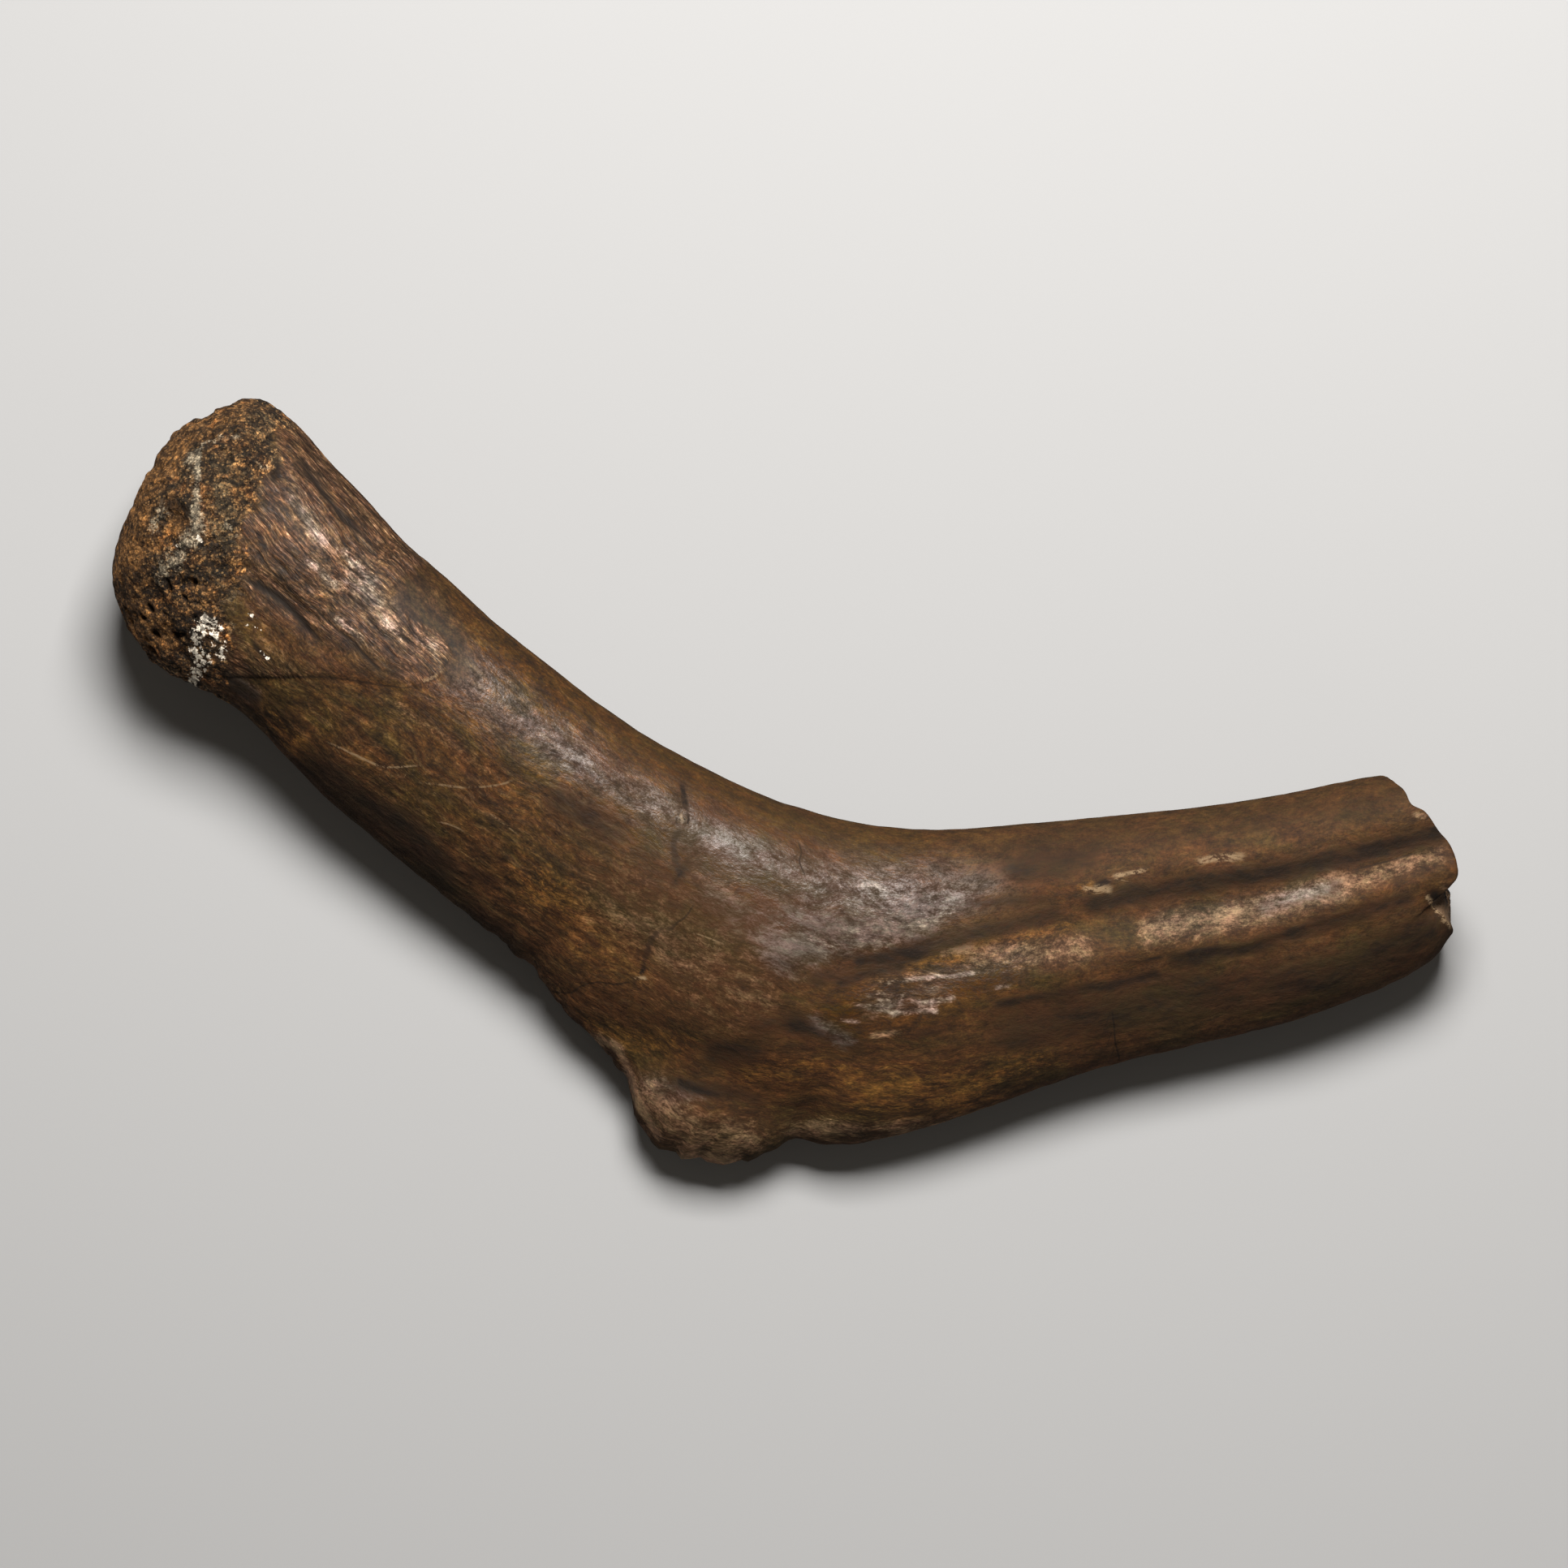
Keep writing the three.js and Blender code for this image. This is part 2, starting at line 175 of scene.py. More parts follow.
# %% Where the break reaches to
# Knots of (place down from the upper edge, millimetres past the last station).
break_on_top = curve([
    (0, 0), (0.1, 1.1), (0.2, 1.3), (0.26, 2.6), (0.38, 3.3), (0.5, 4.2), (0.62, 3.9),
    (0.7, 2.8), (0.75, -1.2), (0.86, -0.6), (0.96, 0.2), (1, 0),
])
break_below = curve([(0, 0), (0.15, -0.6), (0.4, 0.8), (0.6, 1.8), (0.8, 0.6), (1, 0)])
break_core = curve([(0, -0.4), (0.25, 1.2), (0.5, 2.2), (0.8, 1.3), (1, -0.3)])
BREAK_STARTS = 35
BREAK_CORE_STARTS = 0.3
chord = np.array([lower_x(LAST) - upper_x(LAST), lower_y(LAST) - upper_y(LAST)])
onward = np.array([-chord[1], chord[0]]) / np.hypot(*chord)
print("the shaft points along", onward.round(2))

# %% [markdown]
# ## Rows of vertices
# A loft's grid can be uneven. The worn head is pitted all over, so its rows lie a third of a
# millimetre apart. Along the neck and shaft everything is long and thin, so the rows there are
# further apart and the columns close together. More columns run over the upper side than below.

# %% The grid of stations and angles
ROWS = 350
BREAK_ROWS = 26
COLUMNS_ON_TOP = 176
COLUMNS_BELOW = 82
row_spacing = curve([(0, 0.34), (8, 0.36), (11, 0.8), (34, 0.9), (36, 0.5), (LAST, 0.4)])


def smooth(low, high, value):
    """0 below low, 1 above high and a soft step between them."""
    share = np.clip((value - low) / (high - low), 0, 1)
    return share * share * (3 - 2 * share)


fine_station = np.linspace(0, LAST, 8000)
edge_travel = [
    np.hypot(np.diff(x(fine_station)), np.diff(y(fine_station)))
    for x, y in ((upper_x, upper_y), (lower_x, lower_y))
]
travel = np.append(0, np.cumsum(sum(edge_travel) / 2))
rows_so_far = np.append(0, np.cumsum(np.diff(travel) / row_spacing(fine_station[1:])))
station = np.interp(np.linspace(0, rows_so_far[-1], ROWS + 1)[1:], rows_so_far, fine_station)
angle = np.append(
    np.arange(COLUMNS_ON_TOP) * math.pi / COLUMNS_ON_TOP,
    math.pi * (1 + np.arange(COLUMNS_BELOW) / COLUMNS_BELOW),
)
print("the bone is", round(float(travel[-1])), "mm long along its middle")
print(len(station), "rows of", len(angle), "points")


# %% [markdown]
# ## Noise
# Nothing on a bone repeats, so a tiled pattern won't do: every fine form is drawn with noise. Blender
# brings its own, and it can be stretched: a long, narrow lump makes a fibre, and a round one a grain.

# %% Noise, stretched
def lumps(points, size, seed=0):
    """Smooth noise from -1 to 1 at points, with lumps of about size = (along, across, deep)."""
    places = points / np.array(size) + np.array([7.3, 3.1, 5.7]) * (seed + 1)
    return np.fromiter((noise.noise(p) for p in places.tolist()), float, len(places)) * 1.6


print("noise at three places:", lumps(np.array([[0, 0, 0], [1.5, 0, 0], [3, 1, 0]]), (2, 2, 2)).round(2))


# %% [markdown]
# ## Forms that follow a line
# Grooves, ridges and cracks all follow a line drawn on the bone as seen from above. A sculptor would
# draw them with a brush. Here the brush is the distance to the line, with its sign: positive on the
# line's left. The sign makes a step possible, and it keeps a crack sharp between two vertices.

# %% Distance to a drawn line
def rounded(points, pieces=6):
    """A polyline through points with its corners rounded."""
    knots = np.array(points, float)
    columns = [curve(list(enumerate(knots[:, c]))) for c in (0, 1)]
    places = np.linspace(0, len(knots) - 1, pieces * (len(knots) - 1) + 1)
    return np.stack([column(places) for column in columns], 1)


def beside(line, x, y):
    """Signed distance of each (x, y) from a polyline, and the share along it of the nearest point."""
    distance = np.full(len(x), np.inf)
    share = np.zeros(len(x))
    side = np.ones(len(x))
    for i, (a, b) in enumerate(zip(line[:-1], line[1:])):
        step = b - a
        away_x, away_y = x - a[0], y - a[1]
        s = np.clip((away_x * step[0] + away_y * step[1]) / (step @ step), 0, 1)
        found = np.hypot(away_x - s * step[0], away_y - s * step[1])
        nearer = found < distance
        distance = np.where(nearer, found, distance)
        share = np.where(nearer, (i + s) / (len(line) - 1), share)
        side = np.where(nearer, np.sign(step[0] * away_y - step[1] * away_x), side)
    return distance * np.where(side == 0, 1, side), share


print("a point 2 mm left of a line:", beside(rounded([(0, 0), (10, 0)]), np.array([5.0]), np.array([2.0])))

# %% Furrows and ridges, as in the solid
# Each is (line, depth along it, half-width on its left along it, half-width on its right along it).
# A ridge has a negative depth.
FURROWS = {
    "groove of the shaft": (
        [(2, -31.5), (7.5, -29.6), (16.4, -26.6), (27, -24.6), (35, -22.6), (42, -21.2),
         (54.7, -18.9), (69.1, -16.4), (83.4, -12.8), (95.4, -9.6), (101, -8)],
        [(0, 0), (0.15, 0.3), (0.35, 0.6), (0.6, 1.5), (1, 2.2)],
        [(0, 5), (0.4, 5), (0.6, 4.6), (1, 4.4)],
        [(0, 4), (0.3, 3.6), (1, 3.8)],
    ),
    "ridge under the groove": (
        [(6, -36.5), (14, -35.2), (23, -33.2), (33, -30.2), (45, -27), (56, -24.3), (68, -22.2),
         (81.6, -17.8), (90, -14.8), (99, -11.5)],
        [(0, 0), (0.15, -0.5), (0.4, -0.6), (1, -0.5)],
        [(0, 4.5), (0.5, 3.4), (1, 2.6)],
        [(0, 4.5), (0.5, 3), (1, 2.2)],
    ),
    "lip of the tubercle": (
        [(-25.5, -39.5), (-17.5, -42.2), (-9, -45), (-1.5, -48.5), (2.5, -53)],
        [(0, 1), (0.3, 2.6), (0.6, 2.6), (1, 0.8)],
        [(0, 5), (0.4, 9), (1, 6)],
        [(0, 4), (0.5, 7), (1, 4)],
    ),
    "rim of the head": (
        [(-79, 51.5), (-85, 49), (-87, 44), (-87.5, 38), (-88, 32), (-91, 28.5)],
        [(0, -0.5), (0.5, -0.9), (1, -0.4)],
        [(0, 2), (1, 2)],
        [(0, 2), (1, 2)],
    ),
    "furrow behind the head": (
        [(-80, 31), (-75, 28.5), (-71, 24), (-67.5, 19)],
        [(0, 0.3), (0.5, 0.6), (1, 0.2)],
        [(0, 1.6), (1, 1.6)],
        [(0, 1.3), (1, 1.3)],
    ),
}
# (x, y, radius, depth); a lump has a negative depth
PITS = [
    (-92, 27.5, 2.3, 1.9), (-88, 29.5, 1.8, 1.2), (-91.5, 22.5, 2.6, 1.2), (-88.5, 20, 1.8, 0.7),
    (-94.5, 34, 2.2, 0.6), (-89.5, 39.5, 2, 0.6), (-84, 53, 2.4, 0.8), (-12, -51, 6.5, -0.8),
    (-33.5, -35.5, 2, 0.8), (97, -18, 1.9, 1.6),
]


def bell(ratio):
    """1 in the middle, and almost 0 two half-widths away."""
    return np.exp(-ratio * ratio)


def lumpy(a, b, size):
    """Slow waves that look like lumps of about this size."""
    turn = 2 * math.pi / size
    return np.sin(turn * (a + b / 2)) * np.cos(turn * (b - a / 3) + np.sin(turn * a / 2))


def main_relief(x, y, station):
    """Height of the lumps, furrows, ridges and pits of the upper side, in millimetres."""
    height = 0.22 * lumpy(x, y, 23) + 0.25 * (1 - smooth(6, 9, station)) * lumpy(y, x, 11)
    for line, depth, left, right in FURROWS.values():
        distance, share = beside(rounded(line), x, y)
        width = np.where(distance > 0, curve(left)(share), curve(right)(share))
        height -= curve(depth)(share) * bell(distance / width)
    for pit_x, pit_y, radius, depth in PITS:
        height -= depth * bell(np.hypot(x - pit_x, y - pit_y) / radius)
    return height


groove_spot = [np.array([number]) for number in (76.0, -14.8, 34.0)]
print("the groove is", round(-float(main_relief(*groove_spot)[0]), 1), "mm deep at x = 76")

# %% [markdown]
# ## A ragged edge
# The flange of the tubercle is thin, and its rim has crumbled in small bites. They could be cut out
# with small solids, but each cut leaves long, thin faces that shade badly. Instead the bites move
# the lower edge inwards in plan, before the section is drawn, so that the section stays whole.

# %% Bites out of the flange's rim
nibble_size = curve([(0, 0.15), (14, 0.1), (16.5, 0.7), (22, 0.9), (25.5, 0.5), (28, 0.15), (LAST, 0.1)])
along_lower = np.append(0, np.cumsum(edge_travel[1]))


def nibble(station):
    """How far the lower edge is eaten in at a station, in millimetres."""
    along = np.interp(station, fine_station, along_lower)
    flat = np.zeros_like(along)
    coarse = lumps(np.stack([along, flat, flat], 1), (2.9, 1, 1), seed=4)
    small = lumps(np.stack([along, flat, flat], 1), (1.1, 1, 1), seed=9)
    return nibble_size(station) * (smooth(-0.1, 0.5, coarse) + 0.35 * smooth(0, 0.6, small))


print("deepest bite:", round(float(nibble(station).max()), 2), "mm")


# %% The section
def arch(across, top, lower, upper):
    """Share of the rise at a place across from -1 to 1, highest at top."""
    moved = across + top / (1 - top * top) * (across * across - 1)
    sharpness = lower + (upper - lower) * (across + 1) / 2
    return np.clip(1 - moved * moved, 0, 1) ** sharpness


def bone_surface(station, angle):
    """Points of the bone at each station and angle, in millimetres, without the fine relief."""
    across = np.cos(angle)
    on_top = angle <= math.pi
    down = (1 - across) / 2
    width = np.hypot(lower_x(station) - upper_x(station), lower_y(station) - upper_y(station))
    down = down * (1 - nibble(station) / np.maximum(width, 1) * smooth(0.7, 1, down))
    shown = smooth(BREAK_STARTS, LAST, station)
    reach = shown * np.where(on_top, break_on_top(down), break_below(down))
    x = upper_x(station) + (lower_x(station) - upper_x(station)) * down + onward[0] * reach
    y = upper_y(station) + (lower_y(station) - upper_y(station)) * down + onward[1] * reach
    edge = upper_edge_height(station) + (lower_edge_height(station) - upper_edge_height(station)) * down
    top_share = arch(across, crest(station), lower_sharpness(station), upper_sharpness(station))
    top = edge + rise(station) * top_share + main_relief(x, y, station) * smooth(0.1, 0.6, top_share)
    below_share = arch(across, 0, UNDERSIDE_SHARPNESS, UNDERSIDE_SHARPNESS)
    hollow = hollow_depth(station) * bell((across - hollow_place(station)) / HOLLOW_WIDTH)
    below = edge - hang(station) * below_share + hollow
    return np.stack([x, y, np.where(on_top, top, np.maximum(below, 0))], 1)


columns = len(angle)
grid_station = np.repeat(station, columns)
grid_angle = np.tile(angle, ROWS)
skin = bone_surface(grid_station, grid_angle)
print("skin spans", skin.min(0).round(1), "to", skin.max(0).round(1))

# %% [markdown]
# ## The broken end
# Bone breaks across its fibres in a rough, slightly domed face, with a hard outer wall and a spongy
# core. The loft could end in one flat polygon, but that can't be rough. So its rows go on over the
# rim: each one is drawn in further towards the middle, and its reach changes from the rim's ragged
# line to the rough core.

# %% Rows of the broken face
rim = skin[-columns:]
middle = np.array([
    (upper_x(LAST) + lower_x(LAST)) / 2,
    (upper_y(LAST) + lower_y(LAST)) / 2,
    (rim[COLUMNS_ON_TOP // 2, 2] + rim[COLUMNS_ON_TOP + COLUMNS_BELOW // 2, 2]) / 2,
])
onward_3d = np.append(onward, 0)


def broken_row(inwards):
    """The face's row at a share of the way from the rim to the middle."""
    row = rim + (middle - rim) * inwards
    rim_reach = (rim - middle) @ onward_3d
    place = (1 - np.cos(angle) * (1 - inwards)) / 2
    rough = 0.75 * lumps(row, (3.6, 3.6, 3.6), seed=2) + 0.4 * lumps(row, (1.3, 1.3, 1.3), seed=3)
    reach = rim_reach + (break_core(place) + rough - rim_reach) * smooth(0, BREAK_CORE_STARTS, inwards)
    return row + np.outer(reach - rim_reach * (1 - inwards), onward_3d)


face = [broken_row(k / (BREAK_ROWS + 1)) for k in range(1, BREAK_ROWS + 1)]
face_middle = broken_row(1)[:1]
print("the broken face is", np.ptp(rim[:, 2]).round(1), "mm high")

# %% One grid of points
pole = bone_surface(np.zeros(1), np.zeros(1))
points = np.concatenate([pole, skin, *face, face_middle])
rows = ROWS + BREAK_ROWS
on_face = np.arange(len(points)) > ROWS * columns
print(len(points), "points in", rows, "rows")


# %% Quads between the rows, and a fan at each end
def grid_faces(rows, columns):
    """Vertex numbers of the quads, as one array, and of the triangles that close the two ends."""
    j = np.arange(columns)
    after = (j + 1) % columns
    start = 1 + columns * np.arange(rows - 1)[:, None]
    quads = np.stack([start + j, start + after, start + columns + after, start + columns + j], -1)
    end = 1 + rows * columns
    first_fan = np.stack([np.zeros_like(j), 1 + after, 1 + j], -1)
    last_fan = np.stack([np.full_like(j, end), end - columns + j, end - columns + after], -1)
    return quads.reshape(-1, 4), np.concatenate([first_fan, last_fan])


quads, fans = grid_faces(rows, columns)
print(2 * len(quads) + len(fans), "triangles")


# %% Which way the surface faces
def facing(points):
    """Outward unit normals of the grid, from each point's four neighbours."""
    grid = points[1:-1].reshape(rows, columns, 3)
    padded = np.concatenate([grid[:1] * 0 + points[0], grid, grid[:1] * 0 + points[-1]])
    along = padded[2:] - padded[:-2]
    around = np.roll(grid, -1, 1) - np.roll(grid, 1, 1)
    normal = np.cross(around, along).reshape(-1, 3)
    normal = np.concatenate([[[-1, 0, 0]], normal, [onward_3d]])
    return normal / np.maximum(np.linalg.norm(normal, axis=1, keepdims=True), 1e-9)


normals = facing(points)
print("normal on the crest of the neck:", normals[1 + 200 * columns + COLUMNS_ON_TOP // 2].round(2))

# %% [markdown]
# ## The straightened bone
# Fibres follow the bend, so their noise can't use plain X and Y. Each point also gets its place on
# the bone as if it had been straightened: how far along, how far from the inside of the bend, and
# how high. The inside of the bend is the calmest line of the whole bone, and the fibres run parallel
# to it. It is averaged until it bends one way only, or the fibres would crowd together far from it,
# and drawn on past both ends. Real fibres also sway a little, which keeps bone from looking like
# planed wood. The finish reads these places again for its colours.

# %% Straightened places
fibre_stations = np.linspace(8, 35, 110)
inside_line = np.stack([upper_x(fibre_stations), upper_y(fibre_stations)], 1)
CALMING = 8
for _ in range(2):
    before = 2 * inside_line[0] - inside_line[CALMING:0:-1]
    after = 2 * inside_line[-1] - inside_line[-2:-CALMING - 2:-1]
    longer = np.concatenate([before, inside_line, after])
    mean = np.ones(2 * CALMING + 1) / (2 * CALMING + 1)
    inside_line = np.stack([np.convolve(side, mean, "valid") for side in longer.T], 1)
first_way = inside_line[0] - inside_line[3]
last_way = inside_line[-1] - inside_line[-12]
inside_line = np.concatenate([
    [inside_line[0] + 50 * first_way / np.hypot(*first_way)],
    inside_line,
    [inside_line[-1] + 30 * last_way / np.hypot(*last_way)],
])
x, y, z = points.T
from_inside, inside_share = beside(inside_line, x, y)
inside_travel = np.append(0, np.cumsum(np.hypot(*np.diff(inside_line, axis=0).T)))
along = np.interp(inside_share * (len(inside_line) - 1), np.arange(len(inside_line)), inside_travel)
sway = 0.7 * lumps(points, (9, 9, 9), seed=15) + 0.3 * lumps(points, (3.5, 3.5, 3.5), seed=16)
straight = np.stack([along, sway - from_inside, z], 1)
on_top = np.concatenate([[True], np.tile(angle < math.pi, rows), [False]]) & ~on_face
print("straightened, the bone is", np.ptp(along).round(), "mm long")

# %% [markdown]
# ## Zones of the surface
# The same bone shows four kinds of surface. The head has lost its skin and shows spongy bone. The
# neck behind it is weathered into coarse fibres, up to a step where a thin slab ends. A smear of
# filler lies beside that step. The rest is dense, polished skin. The zones could be painted with a
# brush, but a painted border is hard to move later. So each zone is a soft mask with a drawn border,
# made with the same signed distance: one side of a line is inside.

# %% Where the worn head ends
HEAD_EDGE = rounded([
    (-72, 60), (-73.6, 53), (-75.4, 47.5), (-79, 42), (-80.6, 38), (-79.6, 33.5),
    (-80.8, 29.6), (-82, 24.7), (-82, 19.9), (-84, 13.8), (-86, 8),
])
wander = lumps(points, (5, 5, 5), seed=1) + 0.6 * lumps(points, (1.6, 1.6, 1.6), seed=11)
head_distance = -beside(HEAD_EDGE, x, y)[0]
worn = smooth(-3.4, 2.4, head_distance + 1.7 * wander) * ~on_face
HEAD_END = (-99, 33)
head_rim = worn * smooth(10, 5, np.hypot(x - HEAD_END[0], y - HEAD_END[1]))
print("share of the points on the worn head:", worn.mean().round(2))

# %% The weathered slab behind the head, and the filler beside its end
SLAB_EDGE = rounded([
    (-84, 15.7), (-80.6, 15.9), (-74.6, 15.9), (-68.5, 16), (-62.4, 15.3), (-56.4, 14.4), (-52.8, 15.2),
    (-50.3, 16.3), (-49, 18.4), (-50.1, 21), (-51.8, 22.8), (-55.4, 24.5), (-58, 26.8), (-57.1, 29.3),
    (-54, 32), (-50.5, 34.5),
])
slab_distance = beside(SLAB_EDGE, x, y)[0]
on_slab = smooth(-0.3, 0.3, slab_distance) * (1 - worn) * smooth(-46, -49, x) * on_top
calm_line = rounded([(-80, 24), (-73, 21), (-66, 17.5), (-58, 15)])
calm = bell(beside(calm_line, x, y)[0] / 3.6)
fibrous = on_slab * (1 - 0.85 * calm)
FILLER_MIDDLE = (-52.6, 24.5)
FILLER_HALF_SIZE = (9.5, 3.9)
FILLER_TURN = 1.1
off_x = x - FILLER_MIDDLE[0]
off_y = y - FILLER_MIDDLE[1]
off_along = off_x * math.cos(FILLER_TURN) - off_y * math.sin(FILLER_TURN)
off_across = off_x * math.sin(FILLER_TURN) + off_y * math.cos(FILLER_TURN)
from_filler = np.hypot(off_along / FILLER_HALF_SIZE[0], off_across / FILLER_HALF_SIZE[1])
filler = smooth(1.45, 0.6, from_filler + 0.14 * wander)
filler = filler * smooth(0.3, -0.3, slab_distance) * on_top
dense = (1 - worn) * (1 - fibrous) * (1 - filler) * ~on_face
# Painted shade: a band along the upper rim, darkened in colour as if less light fell there.
painted_rim_shade = smooth(7, 2.5, -from_inside + 0.8 * wander) * (1 - worn) * ~on_face
print("weathered:", fibrous.mean().round(3), "filler:", filler.mean().round(3))


# %% Where the dense skin is stringy, and where its flecks are busy or calm
def spot(middle, half_size):
    """A soft patch, 1 in its middle, as seen from above."""
    return bell(np.hypot((x - middle[0]) / half_size[0], (y - middle[1]) / half_size[1]))


stringy = smooth(-8, -32, x) + 0.4 * smooth(34, 50, x)
calm_bend = spot((-10, -17), (20, 13))
busy_shoulder = spot((16, -28), (9, 9))
busy = 1 - 0.55 * calm_bend + 0.5 * busy_shoulder + 0.5 * smooth(-22, -40, x)
print("dense skin covers", dense.mean().round(2), "of the points")

# %% [markdown]
# ## Fine relief
# Now the fine forms are added along the surface's normal: spongy bone as lumps with deep pores, the
# weathered neck as long furrows between ridges, and dense skin as a faint long grain. The slab's
# edge and the foot of the shaft's ridge are steps: the signed distance again, with a sharp rise on
# one side and a slow fall on the other. All of it could be bump in the finish, but bump never breaks
# the outline and casts no shadow. So the finish adds only what is finer still.

# %% Spongy bone of the head
sponge = 0.3 * lumps(points, (2.6, 2.6, 2.6), seed=5) + 0.17 * lumps(points, (1.1, 1.1, 1.1), seed=6)
pore_noise = lumps(points, (1.4, 1.4, 1.4), seed=7)
rotten_below = spot((-91.5, 26), (6.5, 5))
rotten_above = 0.5 * spot((-83, 55), (6, 6))
rotten = np.maximum(rotten_below, rotten_above) * on_top
pores = -(0.3 + 0.9 * rotten) * smooth(0.55 - 0.45 * rotten, 1, pore_noise)
head_relief = (sponge + pores) * (1 - 0.6 * head_rim)
print("deepest pore:", round(-float((pores * worn).min()), 2), "mm")

# %% Fibres, from coarse to faint
coarse = lumps(straight, (7, 0.9, 0.9), seed=8) + 0.4 * lumps(straight, (2.5, 0.5, 0.5), seed=14)
slit_noise = lumps(straight, (8, 0.7, 0.7), seed=19) + 0.3 * lumps(straight, (3, 0.5, 0.5), seed=20)
slits = smooth(0.5, 0.95, slit_noise)
coarse_gaps = -0.14 * smooth(0.3, 0.9, coarse) + 0.05 * smooth(0, -0.6, coarse) - 0.2 * slits
faint = lumps(straight, (7, 0.9, 0.9), seed=10) + 0.5 * lumps(straight, (3, 0.45, 0.45), seed=12)
wavy = lumps(points, (16, 9, 16), seed=13)
dimples = 0.05 * lumps(straight, (3.6, 2.6, 2.6), seed=17)
dimples += 0.03 * lumps(straight, (1.7, 1.2, 1.2), seed=18)
print("weathered furrows go down to", coarse_gaps.min().round(2), "mm")

# %% Steps
# Each is (height, how far back it falls off, line with the high side on its left).
STEPS = {
    "slab": (0.22, 7, [tuple(p) for p in SLAB_EDGE[::3]]),
    "foot of the ridge": (0.1, 2.6, [
        (56, -26.2), (62, -25), (68, -24), (75, -22), (81.6, -19.8), (88, -17.4),
    ]),
}
step_relief = np.zeros(len(points))
for height, fall, path in STEPS.values():
    distance, share = beside(rounded(path), x, y)
    ends = smooth(0, 0.12, share) * smooth(1, 0.88, share)
    step_relief += height * smooth(-0.2, 0.2, distance) * bell(distance / fall) * ends * on_top
print("steps from", step_relief.min().round(2), "to", step_relief.max().round(2), "mm")

# %% [markdown]
# ## Cracks and nicks
# A fossil cracks in the ground and is glued again. The widest crack crosses the bend and is filled;
# thin ones run off it. The pale nicks are chips of its skin. To cut them into the mesh, its faces
# would have to be far smaller. So each point keeps its distance from the nearest line, counted in
# half-widths, and the finish draws the sharp edge from that. Only points close to a line take part,
# so that no seam shows where two of them meet.

# %% Cracks, drawn as lines
# Each is (half-width in millimetres, strength, points as seen from above).
CRACKS = {
    "across the bend, top": (0.4, 1, [(-15, 0.4), (-14.8, -2), (-14.4, -3.6)]),
    "around the eye, right": (0.18, 0.85, [(-14.6, -3.2), (-14.1, -4.6), (-14.3, -5.9), (-15.2, -6.6)]),
    "around the eye, left": (0.15, 0.6, [(-15.2, -4), (-15.9, -5), (-15.8, -6), (-15.2, -6.8)]),
    "across the bend, below the eye": (0.5, 0.5, [
        (-15.3, -6.6), (-16.3, -8.8), (-15.9, -11.2), (-15.2, -13.4),
    ]),
    "across the bend, middle": (0.13, 0.6, [
        (-13.2, -17.6), (-14.4, -19.5), (-15.4, -20.2), (-16.9, -21.6), (-18.2, -22),
    ]),
    "across the bend, foot": (0.45, 0.6, [(-17.8, -21.4), (-19.6, -23), (-20.3, -25), (-20.8, -26.6)]),
    "slit at the foot": (0.36, 1, [(-20.7, -26), (-20.9, -27.3), (-21.2, -28.4)]),
    "to the flange": (0.14, 0.7, [
        (-22, -29.2), (-25, -29.8), (-28, -29.5), (-30.4, -30.2), (-32, -31.2), (-35.5, -31),
    ]),
    "along the slab": (0.15, 0.6, [
        (-84, 15.6), (-80.6, 15.8), (-74.6, 15.7), (-68.5, 15.8), (-62.4, 15.1), (-56.4, 14.2),
        (-52.8, 15), (-50, 16.2),
    ]),
    "on the bend": (0.12, 0.7, [(1.9, -8.2), (2.6, -10), (2.3, -11.5), (3.2, -13.6)]),
    "on the shaft": (0.13, 0.8, [(48.7, -33.5), (49.1, -36), (49.4, -38.6), (50.4, -42)]),
    "ledge behind the head": (0.3, 0.9, [
        (-79, 30.2), (-77.5, 29.3), (-74.6, 27.6), (-71.7, 25), (-70, 22.8), (-67.6, 20.6),
    ]),
    "slab, uppermost": (0.22, 0.8, [
        (-71.4, 47.5), (-68.5, 43.6), (-66.1, 40.7), (-64.9, 39), (-62.7, 37.3), (-61.4, 36.4),
    ]),
    "slab, upper short": (0.24, 0.9, [(-64.5, 32.1), (-63.2, 31.2), (-61.8, 30.2)]),
    "slab, middle short": (0.28, 0.9, [(-64.4, 28.2), (-63, 27), (-61, 25.6)]),
    "slab, lower": (0.2, 0.8, [(-70.6, 27.3), (-66.1, 23), (-63.7, 21.1), (-61.6, 18.8), (-59.4, 16.7)]),
    "slab, middle": (0.13, 0.6, [(-72.4, 33.2), (-70.9, 31.7), (-68, 29.2), (-65.1, 26.9)]),
    "slab, beside the filler": (0.16, 0.6, [(-61.8, 32.6), (-60.6, 31.4), (-59.4, 30.3)]),
    "slab, near the head": (0.14, 0.6, [(-73.6, 37.8), (-71.8, 36), (-70, 33.4)]),
    "under the slab's end": (0.2, 0.6, [(-54, 13.6), (-52.4, 12.9), (-50.8, 12.3)]),
    "under the groove": (0.14, 0.6, [(84, -12.9), (89, -11.6), (94, -10.2)]),
}
print(len(CRACKS), "cracks")

